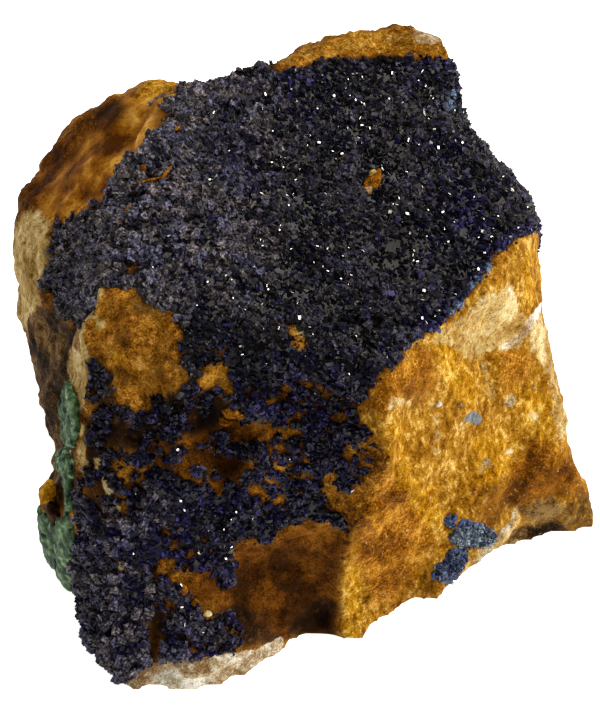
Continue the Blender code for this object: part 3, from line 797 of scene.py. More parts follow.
def azurite_share(points, normals, packed):
    """How much azurite covers each point: by the outlines in front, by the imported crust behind."""
    spots = to_picture(points)
    inside, number = clumps(points)
    edge = 0.4 * fractal(points, 1.6, 101) + 0.3 * fractal(points, 0.6, 131, 2) + 0.5 * (number - 0.5)
    reach = reach_inside(spots, AZURITE)
    reach = np.minimum(reach, -reach_any(spots, WINDOWS))
    reach = np.maximum(reach, reach_round(spots, ISLANDS))
    reach = np.minimum(reach, -reach_any(spots, SMALL_GAPS))
    share = smoothstep(-0.25, 0.25, reach + edge)
    growth = number + 0.5 * fractal(points, 0.6, 171, 2) - 0.3 * (1 - inside)
    for ground, gaps in GAPPED_GROUNDS:
        within = smoothstep(-0.6, 0.6, reach_inside(spots, ground))
        share = share * (1 - within * smoothstep(gaps + 0.06, gaps - 0.06, growth))
    facing = shown_share(normals @ TOWARDS_CAMERA)
    behind = smoothstep(0.35, 0.65, packed + 0.35 * fractal(points, 1.6, 151))
    return facing * share + (1 - facing) * behind


# Where each colour of the stone lies. A row has its outlines, how much of the colour they hold, how soft
# their edge is, in millimetres, and the share of the wandering that it takes.
STONE_PARTS = {
    "bright": (([RIGHT_FACE], 1.0, 0.5, 1.0), ([BACK_STRIP], 0.5, 0.5, 1.0)),
    "gold": ((GOLD_PARTS, 0.75, 1.2, 1.0), ([PALE_PATCH], 0.5, 0.6, 1.0)),
    "orange": ((ORANGE_PARTS, 0.9, 1.2, 1.0), ([UPPER_LEFT, SECOND_PATCH], 0.85, 1.0, 1.0)),
    "tan": (([OCHRE_WINDOW, SCAR], 0.9, 0.7, 1.0), ([CREAM_EDGE], 0.6, 0.8, 1.0)),
    "smooth": (([UPPER_LEFT, UPPER_LIP], 1.0, 0.8, 1.0),),
    "brown": (
        ([LOWER_BROWN, BROWN_WINDOW], 0.7, 1.0, 1.0), ([LOW_CORNER], 0.7, 1.2, 1.0),
        (FACE_BROWN, 0.6, 1.2, 1.0), ([UPPER_DARK], 0.95, 1.5, 1.0),
    ),
    # Deep brown, with painted shade in the front hollow and the left recess.
    "deep": ((DEEP_BROWN_AND_SHADE, 0.85, 1.2, 1.0), ([SHADED_RECESS], 0.3, 0.7, 1.0), (DARK_BANDS, 0.5, 0.7, 1.0)),
    "pale": (
        ([PALE_PATCH], 0.62, 0.3, 0.6), ([CREAM_EDGE], 0.68, 0.8, 1.0), ([CREAM_LIP], 1.0, 0.15, 0.1),
        ([PALE_LEDGE[0]], 0.3, 0.7, 0.7), ([PALE_LEDGE[1], BACK_LINE], 0.7, 0.6, 0.7),
        (CREAM_FLANK, 0.8, 0.5, 1.0), ([RIGHT_RIM], 0.6, 0.6, 1.0), (CREAM_STREAKS, 0.9, 0.2, 0.4),
    ),
    "green": (([GREEN_QUARTZ], 0.4, 0.8, 1.0), ([GREY_BAND], 0.6, 0.5, 1.0)),
    "quartz": (([QUARTZ_LENS, BACK_CHIP], 1.0, 0.3, 0.4), (WHITE_VEINS, 1.0, 0.15, 0.15)),
    # Dark tones: olive mottles, and painted shade under the ledge and in the left recess.
    "dark": (
        (OLIVE_PARTS, 0.5, 0.6, 2.0), (LEDGE_SHADE, 0.85, 0.9, 0.8), ([PALE_LEDGE[0]], 0.55, 0.9, 1.0),
        ([SHADED_RECESS], 0.75, 0.7, 1.0),
    ),
    "grey": (),
}
# The round spots of a colour, how much of it they hold and how soft their edge is.
STONE_SPOTS = {
    "gold": (GOLD_SPOTS, 0.7, 0.5), "pale": (PALE_SPOTS, 0.6, 0.25), "grey": (GREY_SPOTS, 1.0, 0.2),
}


def stone_shares(points, normals, fringe):
    """The share of each colour of the stone, by name."""
    spots = to_picture(points)
    facing = normals @ TOWARDS_CAMERA
    seen = shown_share(facing)
    hidden = 1 - seen
    wander = 0.7 * fractal(points, 2.2, 261) + 0.25 * fractal(points, 0.7, 281, 2)
    rag = 0.3 * fractal(points, 0.5, 291, 3)
    rim = smoothstep(RIM_FROM, FACING_FROM, facing)
    lip = smoothstep(-0.8, 0.8, reach_inside(spots, UPPER_LIP) + wander)
    lump = smoothstep(-0.8, 0.8, reach_inside(spots, CREAM_LUMP) + wander)
    cloud = fractal(points, 6.0, 211)
    blotch = fractal(points, 3.0, 241)
    layers = {
        name: [
            amount * (seen * smoothstep(-soft, soft, reach_any(spots, outlines) + loose * wander))
            for outlines, amount, soft, loose in parts
        ]
        for name, parts in STONE_PARTS.items()
    }
    for name, (circles, amount, soft) in STONE_SPOTS.items():
        reach = reach_round(spots, circles) + 0.3 * wander + rag
        layers[name].append(amount * (seen * smoothstep(-soft, soft, reach)))
    layers["gold"].append(0.65 * rim * lump)
    layers["tan"].append(rim * lip)
    layers["brown"] += [hidden * smoothstep(0.1, 0.5, blotch), 0.8 * fringe]
    layers["pale"] += [0.25 * rim * lump, hidden * smoothstep(0.3, 0.6, -blotch)]
    shares = {name: np.max(values, axis=0) for name, values in layers.items()}
    shares["bright"] += hidden * smoothstep(-0.2, 0.4, cloud)
    clear = 1 - smoothstep(0.3, 0.8, shares["pale"])
    for name in ("dark", "deep", "brown"):
        shares[name] = shares[name] * clear
    return shares


def ledges(points):
    """Noise from -1 to 1 for the crust's small ledges."""
    return fractal(points / LEDGE_STRETCH, 1.4, 511, 4)


# Where the crust's colours change, from one line of pixels to another, across or down the picture.
LEFT_BAND, UPPER_BAND = (330, 200), (370, 260)
CORNER_ACROSS, CORNER_DOWN = (240, 140), (470, 530)
RIM_ACROSS = (380, 440)
LOW_BAND = (330, 430)
PLATE = (351, 190)                      # the middle of a broad grey plate of dust and painted sheen
PLATE_BAND = (13, 5)


def crust_shares(points):
    """How blue, how grey with dust and painted sheen, and how pale the azurite is at each point."""
    spots = to_picture(points)
    across, down = spots.T
    upper_left = smoothstep(*LEFT_BAND, across) * smoothstep(*UPPER_BAND, down)
    corner = smoothstep(*CORNER_ACROSS, across) * smoothstep(*CORNER_DOWN, down)
    low = smoothstep(*LOW_BAND, down)
    loose = smoothstep(-3, 3, reach_inside(spots, LOOSE_GROUND))
    haze = np.max([smoothstep(size, 0.2 * size, gap_to(spots, x, y)) for x, y, size in HAZES], axis=0)
    rim = smoothstep(1.6, 0.4, reach_inside(spots, AZURITE)) * smoothstep(*RIM_ACROSS, across)
    plate = smoothstep(*PLATE_BAND, gap_to(spots, *PLATE))
    inside, number = clumps(points)
    level = 0.26 * upper_left + 0.16 * corner - 0.12 * low - 0.02
    level = level + 0.2 * fractal(points, 3.5, 321) + 0.6 * plate
    dust_and_sheen = smoothstep(-0.08, 0.18, ledges(points) + level + 0.35 * (number - 0.5))
    # The grey thins out in the clefts between clumps, which paints them darker as shade.
    dust_and_sheen = dust_and_sheen * (0.33 + 0.67 * np.maximum(upper_left, corner)) * (0.2 + 0.8 * inside)
    dust_and_sheen = dust_and_sheen * (1 - 0.35 * low * (1 - corner)) * (1 - 0.6 * haze) * (1 - 0.7 * rim)
    blue = 0.08 + 0.35 * loose + 0.5 * corner + 0.8 * haze + 0.7 * rim + 0.4 * low
    # Less blue in the clefts too, which paints them darker as shade.
    blue = (blue + 0.6 * fractal(points, 2.5, 311)) * (0.2 + 0.8 * inside)
    pale = reach_round(spots, PALE_AZURITE_AND_SPARKLE)
    return {
        "blue": np.clip(blue, 0, 1),
        "dust_and_sheen": np.clip(dust_and_sheen, 0, 1),
        "pale": 0.6 * smoothstep(-0.3, 0.3, pale) * smoothstep(-0.2, 0.2, wave(points, 0.4, 351)),
    }


# ---------------------------------------------------------------- the stone

def nearness(points, *nodes):
    """1 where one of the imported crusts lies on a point, falling to 0 away from it."""
    graph = bpy.context.evaluated_depsgraph_get()
    trees = [BVHTree.FromObject(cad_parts[node], graph) for node in nodes]
    gaps = [min(tree.find_nearest(Vector(point * MM))[3] for tree in trees) / MM for point in points]
    return 1 - smoothstep(BED_NEAR, BED_FAR, np.array(gaps))


def remeshed(source, step):
    """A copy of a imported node's mesh with an even grain, closed."""
    mesh = source.data.copy()
    joined = bmesh.new()
    joined.from_mesh(mesh)
    bmesh.ops.remove_doubles(joined, verts=joined.verts, dist=1e-6)
    joined.to_mesh(mesh)
    joined.free()
    holder = bpy.data.objects.new("holder", mesh)
    bpy.context.scene.collection.objects.link(holder)
    modifier = holder.modifiers.new("even", "REMESH")
    modifier.mode = "VOXEL"
    modifier.voxel_size = step * MM
    shaped = bpy.data.meshes.new_from_object(holder.evaluated_get(bpy.context.evaluated_depsgraph_get()))
    bpy.data.objects.remove(holder)
    return shaped


def ease(mesh, rounds):
    """Rounds off facets, with the base left flat."""
    points = read_points(mesh)
    eased = averaged(points, read_edges(mesh), rounds)
    low = points[:, 2] < BASE_FLAT
    eased[low] = points[low]
    write_points(mesh, eased)


def subdivide(mesh, wanted):
    """Splits the wanted faces' edges in two, and leaves only triangles."""
    fine = bmesh.new()
    fine.from_mesh(mesh)
    fine.faces.ensure_lookup_table()
    edges = {edge for face, want in zip(fine.faces, wanted) if want for edge in face.edges}
    bmesh.ops.subdivide_edges(fine, edges=list(edges), cuts=1, use_grid_fill=True)
    bmesh.ops.triangulate(fine, faces=fine.faces)
    fine.to_mesh(mesh)
    fine.free()


def nudged(points):
    """The points moved level, never up or down, so that the outline falls where it is seen."""
    spots = to_picture(points)
    moved = points.copy()
    for x, y, reach, right, down in NUDGES:
        share = np.exp(-(gap_to(spots, x, y) / reach) ** 2)
        moved[:, 0] += share * right * PIXEL
        moved[:, 1] -= share * down * PIXEL / math.sin(CAMERA_TILT)
    return moved


def picture_relief(points, facing):
    """The ridges, cracks and bosses, in millimetres along the surface's normal."""
    spots = to_picture(points)
    height = sum(rise * np.exp(-(reach_line(spots, line) / width) ** 2) for line, width, rise in RIDGES)
    height = height + sum(
        rise * smoothstep(0, 1, 1 - gap_to(spots, x, y) / radius) for x, y, radius, rise in BOSSES
    )
    return height * shown_share(facing)


# The bare stone's relief, in millimetres, drawn out along Z.
STONE_STRETCH = np.array((1.0, 1.0, 2.0))
EVEN_RISE, EVEN_SIZE = 0.12, 1.1
DRAWN_RISE, DRAWN_SIZE = 0.32, 0.8
CHIP_RISE, CHIP_SIZE = 0.45, 1.7


def stone_relief(points, shares, azurite):
    """How far the bare stone stands out or in, in millimetres."""
    drawn = points / STONE_STRETCH
    grains = EVEN_RISE * fractal(points, EVEN_SIZE, 401) + DRAWN_RISE * fractal(drawn, DRAWN_SIZE, 411, 2)
    bent = drawn + 0.6 * wave(points, 1.5, 421)[:, None]
    near, second, number = cobbles(bent, CHIP_SIZE, 431)
    chips = CHIP_RISE * (number - 0.5) * smoothstep(0.0, 0.3, second - near)
    calm = 1 - np.max([0.6 * shares["quartz"], 0.6 * shares["pale"], 0.85 * shares["smooth"]], axis=0)
    return (1 - azurite) * calm * (grains + chips)


def build_stone(finish):
    """The block under everything. Gives its mesh and, on its points, how the crusts lie on it."""
    mesh = remeshed(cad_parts["matrix_stone"], SKIN_STEP)
    ease(mesh, FACET_ROUNDS)
    points, normals, edges = read_points(mesh), read_normals(mesh), read_edges(mesh)
    packed = nearness(points, "azurite_crust")
    others = nearness(points, "azurite_cluster", "malachite_crust")
    packed, others = averaged(np.stack([packed, others], axis=1), edges, NEAR_ROUNDS).T
    lift = smoothstep(0.1, 0.8, np.maximum(packed, others)) * smoothstep(0.3, 2.0, points[:, 2])
    write_points(mesh, points + normals * (BED * lift)[:, None])
    ease(mesh, BED_ROUNDS)
    points = read_points(mesh)
    malachite = averaged(nearness(points, "malachite_crust"), edges, NEAR_ROUNDS)[:, 0]
    write_points(mesh, nudged(points))

    points, normals = read_points(mesh), read_normals(mesh)
    azurite = azurite_share(points, averaged(normals, edges, TURN_ROUNDS), packed)
    shown = (normals @ TOWARDS_CAMERA > SPLIT_FACING) & (points[:, 2] > BASE_FLAT)
    wanted = shown & (averaged(azurite, edges, 2)[:, 0] < SPLIT_COVER)
    choice = [all(wanted[index] for index in face.vertices) for face in mesh.polygons]
    store(mesh, {"packed": packed, "malachite": malachite})
    subdivide(mesh, choice)

    points, normals = read_points(mesh), read_normals(mesh)
    packed, malachite = take(mesh, "packed"), take(mesh, "malachite")
    edges = read_edges(mesh)
    broad = averaged(normals, edges, BROAD_ROUNDS)
    azurite = azurite_share(points, broad, packed)
    fringe = smoothstep(0.03, 0.5, averaged(azurite, edges, FRINGE_ROUNDS)[:, 0])
    shares = stone_shares(points, broad, fringe)
    relief = stone_relief(points, shares, azurite) + picture_relief(points, normals @ TOWARDS_CAMERA)
    relief = relief * smoothstep(0.1, BASE_BAND, points[:, 2])
    write_points(mesh, points + normals * relief[:, None])
    store(mesh, shares)
    mesh.polygons.foreach_set("use_smooth", [True] * len(mesh.polygons))
    add_piece("limonite_quartz_stone", mesh, finish, "matrix_stone")
    return mesh, azurite, fringe, malachite


# ---------------------------------------------------------------- crusts

def closed_patch(points, normals, triangles, chosen, top, depth):
    """A closed shell over the chosen triangles: its top stands off the ground, its back lies below it."""
    used, corners = np.unique(triangles[chosen], return_inverse=True)
    corners = corners.reshape(-1, 3)
    count = len(used)
    sides = corners[:, [0, 1, 1, 2, 2, 0]].reshape(-1, 2)
    keys = sides[:, 0].astype(np.int64) * count + sides[:, 1]
    rim = sides[~np.isin(keys, sides[:, 1].astype(np.int64) * count + sides[:, 0])]
    above = points[used] + normals[used] * top[used, None]
    below = points[used] - normals[used] * depth
    walls = np.concatenate([
        np.stack([rim[:, 1], rim[:, 0], rim[:, 0] + count], axis=1),
        np.stack([rim[:, 1], rim[:, 0] + count, rim[:, 1] + count], axis=1),
    ])
    faces = np.concatenate([corners, corners[:, ::-1] + count, walls])
    shell = np.concatenate([above, below])
    shell[:, 2] = np.maximum(shell[:, 2], LOWEST)
    return shell, faces


def scatter(random, points, normals, triangles, weights, count):
    """Random places on triangles, with the normals there, more of them where the weight is high."""
    chance = 0.5 * doubled_areas(points, triangles) * over(triangles, weights)
    pick = random.choice(len(triangles), size=count, p=chance / chance.sum())
    u, v = random.random((2, count))
    outside = u + v > 1
    u[outside], v[outside] = 1 - u[outside], 1 - v[outside]
    parts = np.stack([1 - u - v, u, v], axis=1)[:, :, None]
    spots = (points[triangles[pick]] * parts).sum(axis=1)
    lean = (normals[triangles[pick]] * parts).sum(axis=1)
    return spots, unit(lean)


# A blade's corners go round its foot, then round its head.
BLADE_FACES = np.array((
    (0, 2, 1), (0, 3, 2), (4, 5, 6), (4, 6, 7),
    (0, 1, 5), (0, 5, 4), (1, 2, 6), (1, 6, 5), (2, 3, 7), (2, 7, 6), (3, 0, 4), (3, 4, 7),
))
BLADE_SINK = 0.42                       # the share of a blade's height that is below the surface
BLADE_THICK = (0.45, 0.95)              # as a share of its width
BLADE_TAPER, BLADE_PINCH = (0.45, 0.95), (0.15, 0.8)    # how wide and how thick the head is, as shares
BLADE_SLANT = 0.45


def crystals(random, spots, lean, widths, heights, tilt, slanted=BLADE_SLANT):
    """The eight corners of closed tapered blades with slanted ends, one at each spot."""
    count = len(spots)
    axis = unit(lean + tilt * np.clip(random.normal(size=(count, 3)), -1.6, 1.6))
    side = unit(np.cross(axis, random.normal(size=(count, 3))))
    other = np.cross(axis, side)
    width = random.uniform(*widths, count)
    thick = width * random.uniform(*BLADE_THICK, count)
    height = random.uniform(*heights, count)
    taper = random.uniform(*BLADE_TAPER, count)
    pinch = random.uniform(*BLADE_PINCH, count)
    slant = random.uniform(-slanted, slanted, (count, 2)) * width[:, None]
    corners = []
    for head in (False, True):
        across, deep = (taper, pinch) if head else (1, 1)
        for sx, sy in ROUND_CORNERS:
            up = -BLADE_SINK * height
            if head:
                up = (1 - BLADE_SINK) * height + sx * slant[:, 0] + sy * slant[:, 1] * 0.5
            corners.append(
                spots + side * (sx * across * width / 2)[:, None] + other * (sy * deep * thick / 2)[:, None]
                + axis * up[:, None]
            )
    return np.stack(corners, axis=1)


def add_crystals(name, corners, shares, finish, node):
    """Blades, eight corners each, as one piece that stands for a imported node."""
    count = len(corners)
    faces = (BLADE_FACES[None] + 8 * np.arange(count)[:, None, None]).reshape(-1, 3)
    points = corners.reshape(-1, 3)
    points[:, 2] = np.maximum(points[:, 2], LOWEST)
    shares = {key: np.repeat(values, 8) for key, values in shares.items()}
    add_piece(name, make_mesh(name, points, faces, shares), finish, node)


# The druse: its bed, then flakes, crystals, strays past its edge, and faces that throw the light.
AZURITE_LIFT, AZURITE_DEPTH = 0.28, 0.35    # how far the bed stands off the stone, and goes into it
SWELL_RISE, LEDGE_RISE, CLUMP_RISE, CLEFT_DROP = 0.45, 0.8, 0.4, 0.34   # the bed's relief
THINNEST = 0.06
SKIRT = 0.03                            # the edges of the crusts end this far below the stone's skin
COARSE = 0.12                           # twice the area, in square millimetres, of a face worth splitting
BLADES_A_PIECE = 11000
FLAKE_COUNT, FLAKE_WIDTHS, FLAKE_HEIGHTS, FLAKE_TILT = 10000, (0.34, 0.8), (0.2, 0.37), 0.3
DUST_AND_SHEEN_GROWTH = 0.55                     # how much larger the flakes are where they are grey with dust and painted sheen
CRYSTAL_COUNT, CRYSTAL_WIDTHS, CRYSTAL_HEIGHTS, CRYSTAL_TILT = 17000, (0.2, 0.48), (0.17, 0.35), 0.42
STRAY_COUNT, STRAY_SIZES = 1600, (0.16, 0.4)
GLINT_COUNT, GLINT_WIDTHS, GLINT_HEIGHTS, GLINT_TILT = 170, (0.16, 0.42), (0.6, 0.85), 0.055
# Where glints are likely, from one line of pixels to another, across or down the picture.
GLINT_ACROSS, GLINT_UPPER, GLINT_LOWER = (170, 300), (400, 300), (400, 480)


def halfway(points):
    """The normals of small mirrors that throw the key light at the camera."""
    return unit(unit(np.array(KEY_PLACE) - points) + unit(EYE - points))


def glint_places(random, points, normals, triangles):
    """Places on the crust for the brightest faces: the drawn ones, and some at random."""
    spots = to_picture(points)
    across, down = spots.T
    weights = 0.15 + smoothstep(*GLINT_ACROSS, across) * smoothstep(*GLINT_UPPER, down)
    weights = (weights + 0.3 * smoothstep(*GLINT_LOWER, down)) * (normals @ TOWARDS_CAMERA > 0.2)
    places, _ = scatter(random, points, normals, triangles, weights, GLINT_COUNT)
    used = np.unique(triangles)
    used = used[normals[used] @ TOWARDS_CAMERA > 0.1]
    drawn = [used[np.argmin(gap_to(spots[used], x, y))] for x, y in GLINTS]
    return np.concatenate([places, points[drawn]])


def build_azurite(ground, azurite, fringe, finish, glint_finish):
    """The druse: a closed bed over the ground and the blades that stand on it."""
    random = np.random.default_rng(SEED)
    fine = ground.copy()
    store(fine, {"azurite": azurite, "fringe": fringe})
    triangles = read_triangles(fine)
    coarse = doubled_areas(read_points(fine), triangles) > COARSE
    subdivide(fine, coarse & (over(triangles, azurite) > 0.4))
    azurite, fringe = take(fine, "azurite"), take(fine, "fringe")
    points, normals, triangles = read_surface(fine)
    chosen = over(triangles, azurite) > 0.5
    inside, number = clumps(points)
    lumps = SWELL_RISE * fractal(points, 3.0, 501) + LEDGE_RISE * ledges(points)
    lumps = lumps + CLUMP_RISE * (number - 0.5) * inside - CLEFT_DROP * (1 - inside)
    top = np.maximum(AZURITE_LIFT + lumps, THINNEST) * smoothstep(0.5, 0.8, azurite) - SKIRT
    shell, faces = closed_patch(points, normals, triangles, chosen, top, AZURITE_DEPTH)
    shares = crust_shares(shell)
    shares["tone"] = np.clip(0.3 + 0.5 * fractal(shell, 0.7, 541), 0.2, 1)
    # The bed takes less of the grey than the blades, so the gaps between them are painted darker as shade.
    shares["dust_and_sheen"] = 0.6 * shares["dust_and_sheen"]
    mesh = make_mesh("azurite_crust_bed", shell, faces, shares)
    add_piece("azurite_crust_bed", mesh, finish, "azurite_crust")

    raised = points + normals * top[:, None]
    growth = 0.25 + 0.75 * inside
    flakes, lean = scatter(random, raised, normals, triangles[chosen], growth, FLAKE_COUNT)
    flake_blades = crystals(random, flakes, lean, FLAKE_WIDTHS, FLAKE_HEIGHTS, FLAKE_TILT, slanted=0.3)
    growing = 1 + DUST_AND_SHEEN_GROWTH * crust_shares(flakes)["dust_and_sheen"][:, None, None]
    flake_blades = flakes[:, None] + (flake_blades - flakes[:, None]) * growing
    growth = growth * (1 - 0.5 * crust_shares(points)["dust_and_sheen"])
    spots, lean = scatter(random, raised, normals, triangles[chosen], growth, CRYSTAL_COUNT)
    blades = crystals(random, spots, lean, CRYSTAL_WIDTHS, CRYSTAL_HEIGHTS, CRYSTAL_TILT)
    near = ~chosen & (over(triangles, fringe) > 0.15)
    strays, lean = scatter(random, raised, normals, triangles[near], fringe, STRAY_COUNT)
    stray_blades = crystals(random, strays, lean, STRAY_SIZES, STRAY_SIZES, CRYSTAL_TILT)
    places = glint_places(random, raised, normals, triangles[chosen])
    glint_blades = crystals(
        random, places, halfway(places), GLINT_WIDTHS, GLINT_HEIGHTS, GLINT_TILT, slanted=0.0
    )

    spots = np.concatenate([flakes, spots, strays])
    corners = np.concatenate([flake_blades, blades, stray_blades])
    shares = crust_shares(spots)
    shares["tone"] = random.random(len(spots)) * (0.6 + 0.4 * clumps(spots)[1])
    shares["dust_and_sheen"] = np.clip(shares["dust_and_sheen"] * (1 + 0.3 * random.normal(size=len(spots))), 0, 1)
    shares["blue"] = np.clip(shares["blue"] + 0.25 * random.normal(size=len(spots)), 0, 1)
    order = np.argsort(spots[:, 0])
    pieces = np.array_split(order, math.ceil(len(spots) / BLADES_A_PIECE))
    for number, part in enumerate(pieces, 1):
        some = {key: values[part] for key, values in shares.items()}
        add_crystals(
            f"azurite_crystals_{number}", corners[part], some, finish, "azurite_crust"
        )
    shares = {key: np.zeros(len(places)) for key in shares}
    shares["tone"] = 0.06 * random.random(len(places)) ** 2
    add_crystals("azurite_glints", glint_blades, shares, glint_finish, "azurite_crust")


# The small cluster.
CLUSTER_LIFT = 0.4
CLUSTER_COUNT, CLUSTER_WIDTHS, CLUSTER_HEIGHTS, CLUSTER_TILT = 1000, (0.18, 0.5), (0.2, 0.5), 0.5
# Its upper lobe's foot and head, from one line of pixels to another down the picture.
LOBE_FOOT, LOBE_HEAD = (556, 540), (522, 528)


def cluster_shares(random, points):
    down = to_picture(points)[:, 1]
    count = len(points)
    upper = smoothstep(*LOBE_FOOT, down) * smoothstep(*LOBE_HEAD, down)
    dot = smoothstep(*reversed(LOBE_HEAD), down)
    blue = 0.8 - 0.75 * upper + 0.3 * random.random(count)
    # Pale blades, most on the upper lobe, are painted highlights.
    pale = (0.2 + 0.5 * upper) * (random.random(count) > 0.45) * random.random(count) * 1.6
    tone = random.random(count) + 0.6 * dot
    shares = {"blue": blue, "dust_and_sheen": np.zeros(count), "pale": pale, "tone": tone}
    return {key: np.clip(values, 0, 1) for key, values in shares.items()}


def build_cluster(ground, finish):
    """Blue blades in two lobes low on the right face."""
    random = np.random.default_rng(SEED + 1)
    points, normals, triangles = read_surface(ground)
    reach = reach_any(to_picture(points), CLUSTER_PARTS) + 0.25 * fractal(points, 0.8, 601, 2)
    facing = normals @ TOWARDS_CAMERA > -0.1
    share = smoothstep(-0.15, 0.15, reach) * facing * (points[:, 2] > 0.2)
    chosen = over(triangles, share) > 0.5
    top = CLUSTER_LIFT * smoothstep(-0.1, 1.2, reach) + 0.12 * fractal(points, 0.6, 611, 2)
    shell, faces = closed_patch(points, normals, triangles, chosen, top, AZURITE_DEPTH)
    mesh = make_mesh("azurite_cluster_bed", shell, faces, cluster_shares(random, shell))
    add_piece("azurite_cluster_bed", mesh, finish, "azurite_cluster")
    raised = points + normals * top[:, None]
    places, lean = scatter(random, raised, normals, triangles[chosen], np.ones(len(points)), CLUSTER_COUNT)
    blades = crystals(random, places, lean, CLUSTER_WIDTHS, CLUSTER_HEIGHTS, CLUSTER_TILT)
    shares = cluster_shares(random, places)
    add_crystals("azurite_cluster_blades", blades, shares, finish, "azurite_cluster")


MALACHITE_LIFT, MALACHITE_DEPTH = 0.175, 0.35
MALACHITE_DOMES = ((0.35, 0.9, 711), (0.12, 0.45, 721))     # how high, how broad, and the salt
MALACHITE_TOP = (490, 515)              # where the camera can't see it, it starts at these lines of pixels


def build_malachite(ground, packed, finish):
    """A crust of small domes down the left flank."""
    points, normals, triangles = read_surface(ground)
    spots = to_picture(points)
    reach = reach_any(spots, MALACHITE) + 0.2 * wave(points, 0.9, 701)
    behind = smoothstep(0.35, 0.6, packed + 0.25 * fractal(points, 1.2, 701))
    behind = behind * smoothstep(*MALACHITE_TOP, spots[:, 1])
    seen = shown_share(normals @ TOWARDS_CAMERA)
    share = seen * smoothstep(-0.2, 0.2, reach) + (1 - seen) * behind
    share = share * smoothstep(0.02, 0.2, packed) * (points[:, 2] > 0.5)
    chosen = over(triangles, share) > 0.5
    domes = sum(
        rise * (1 - np.minimum(cobbles(points, size, salt)[0], 1) ** 2)
        for rise, size, salt in MALACHITE_DOMES
    )
    top = (MALACHITE_LIFT + domes) * smoothstep(0.5, 0.9, share) - SKIRT
    shell, faces = closed_patch(points, normals, triangles, chosen, top, MALACHITE_DEPTH)
    mesh = make_mesh("malachite_crust_domes", shell, faces, smooth=True)
    add_piece("malachite_crust_domes", mesh, finish, "malachite_crust")


GRAIN_ROUGH, GRAIN_SWELLS = 0.75, 1.1
GRAIN_FLATNESS = 0.8
GRAIN_BASE = 12                         # how many of the surface's points carry a grain


def build_grains(ground, finish):
    """The grains, each a rough lump sunk into the surface that is seen at its picture point."""
    points, normals = read_points(ground), read_normals(ground)
    spots = to_picture(points)
    front = np.flatnonzero(normals @ TOWARDS_CAMERA > 0.1)
    ball = bmesh.new()
    bmesh.ops.create_icosphere(ball, subdivisions=3, radius=1.0)
    round_points = np.array([vertex.co[:] for vertex in ball.verts])
    round_faces = np.array([[vertex.index for vertex in face.verts] for face in ball.faces])
    ball.free()
    lumps, faces, shares = [], [], {kind: [] for kind in STONE_PARTS}
    for number, (x, y, length, width, turn, lift, kind) in enumerate(GRAINS):
        order = front[np.argsort(gap_to(spots[front], x, y))[:GRAIN_BASE]]
        base = points[order].mean(axis=0)
        up = normals[order].mean(axis=0)
        up /= np.linalg.norm(up)
        flat = PICTURE_RIGHT * math.cos(math.radians(turn)) + PICTURE_UP * math.sin(math.radians(turn))
        along = flat - up * (flat @ up)
        along /= np.linalg.norm(along)
        beside = np.cross(up, along)
        rough = 1 + GRAIN_ROUGH * fractal(round_points + 10 * number, GRAIN_SWELLS, 801, 3)
        sizes = np.array((length, width, GRAIN_FLATNESS * min(length, width))) * PIXEL
        local = round_points * rough[:, None] * sizes
        lumps.append(base + local @ np.stack([along, beside, up]) + up * lift)
        faces.append(round_faces + len(round_points) * number)
        for key in shares:
            shares[key].append(np.full(len(round_points), 1.0 if key == kind else 0.0))
    shares = {key: np.concatenate(values) for key, values in shares.items()}
    mesh = make_mesh("stone_grains", np.concatenate(lumps), np.concatenate(faces), shares)
    add_piece("stone_grains", mesh, finish, "matrix_stone")


# ---------------------------------------------------------------- stage

def add_light(name, place, size, power, colour):
    """Adds a square light that faces the specimen."""
    lamp = bpy.data.lights.new(name, "AREA")
    lamp.size = size * MM
    lamp.energy = power
    lamp.color = colour
    holder = bpy.data.objects.new(name, lamp)
    holder.location = Vector(place) * MM
    towards = Vector(CAMERA_TARGET) - Vector(place)
    holder.rotation_euler = towards.to_track_quat("-Z", "Y").to_euler()
    bpy.context.scene.collection.objects.link(holder)


FLOOR_HALF = 1.0                        # metres
FLOOR_GLOW = 0.95
WORLD_GLOW = 0.15
WARM, WARMER = (1.0, 0.93, 0.78), (1.0, 0.9, 0.7)
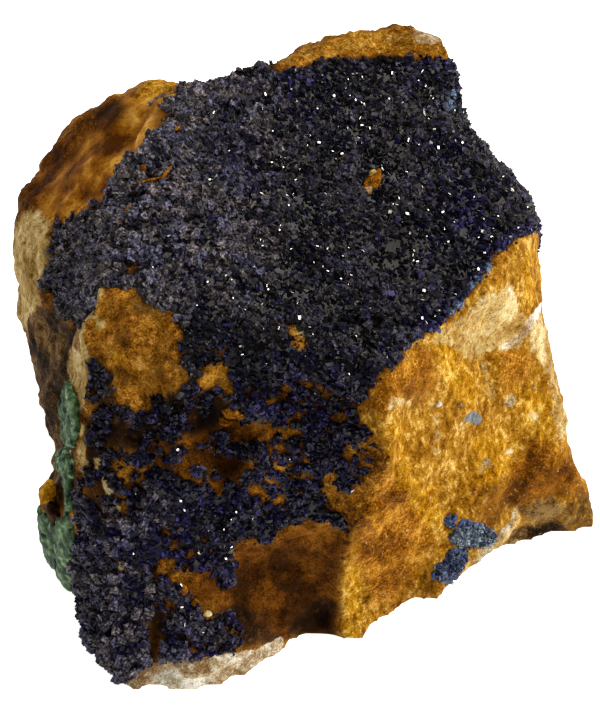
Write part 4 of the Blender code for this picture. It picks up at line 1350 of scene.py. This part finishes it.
# The lights: a name, a place and a size in millimetres, a power in watts and a colour.
LIGHTS = (
    ("key", KEY_PLACE, 130, 2.1, (1, 1, 1)),
    ("top", (-60, 250, 420), 90, 1.3, (1, 1, 1)),
    ("spark_1", (60, 330, 330), 11, 0.1, WARMER),
    ("spark_2", (-220, 160, 360), 9, 0.1, WARM),
    ("spark_3", (160, -240, 400), 9, 0.1, WARMER),
)


def set_stage():
    scene = bpy.context.scene
    scene.view_settings.view_transform = "Standard"
    floor_mesh = bpy.data.meshes.new("floor")
    corners = [(sx * FLOOR_HALF, sy * FLOOR_HALF, 0) for sx, sy in ROUND_CORNERS]
    floor_mesh.from_pydata(corners, [], [(0, 1, 2, 3)])
    floor = bpy.data.objects.new("floor", floor_mesh)
    scene.collection.objects.link(floor)
    look = Finish("floor")
    look.shader.inputs["Emission Color"].default_value = (1, 1, 1, 1)
    look.shader.inputs["Emission Strength"].default_value = FLOOR_GLOW
    floor_mesh.materials.append(look.finish(srgb(252, 252, 252), 0.9))

    world = bpy.data.worlds.new("studio")
    world.use_nodes = True
    sky = world.node_tree.nodes["Background"]
    sky.inputs["Color"].default_value = (1, 1, 1, 1)
    sky.inputs["Strength"].default_value = WORLD_GLOW
    scene.world = world
    for light in LIGHTS:
        add_light(*light)

    camera_data = bpy.data.cameras.new("camera")
    camera_data.sensor_fit = "VERTICAL"
    camera_data.sensor_height = FILM
    camera_data.lens = FILM * CAMERA_DISTANCE / (PICTURE_HEIGHT * PIXEL)
    camera_data.clip_start = 0.01
    camera = bpy.data.objects.new("camera", camera_data)
    camera.location = Vector(EYE) * MM
    camera.rotation_euler = (math.pi / 2 - CAMERA_TILT, 0, 0)
    scene.collection.objects.link(camera)
    scene.camera = camera


set_stage()
stone_look = stone_finish()
stone, azurite, fringe, malachite = build_stone(stone_look)
build_grains(stone, stone_look)
build_azurite(
    stone, azurite, fringe, azurite_finish("azurite_druse", DRUSE_DEEP, DRUSE_BLUE, DRUSE_PALE),
    azurite_finish("azurite_glint", GLINT_DEEP, DRUSE_BLUE, DRUSE_PALE, gloss=GLINT_GLOSS),
)
build_cluster(stone, azurite_finish("azurite_rosette", ROSETTE_DEEP, ROSETTE_BLUE, ROSETTE_HIGHLIGHT))
build_malachite(stone, malachite, malachite_finish())
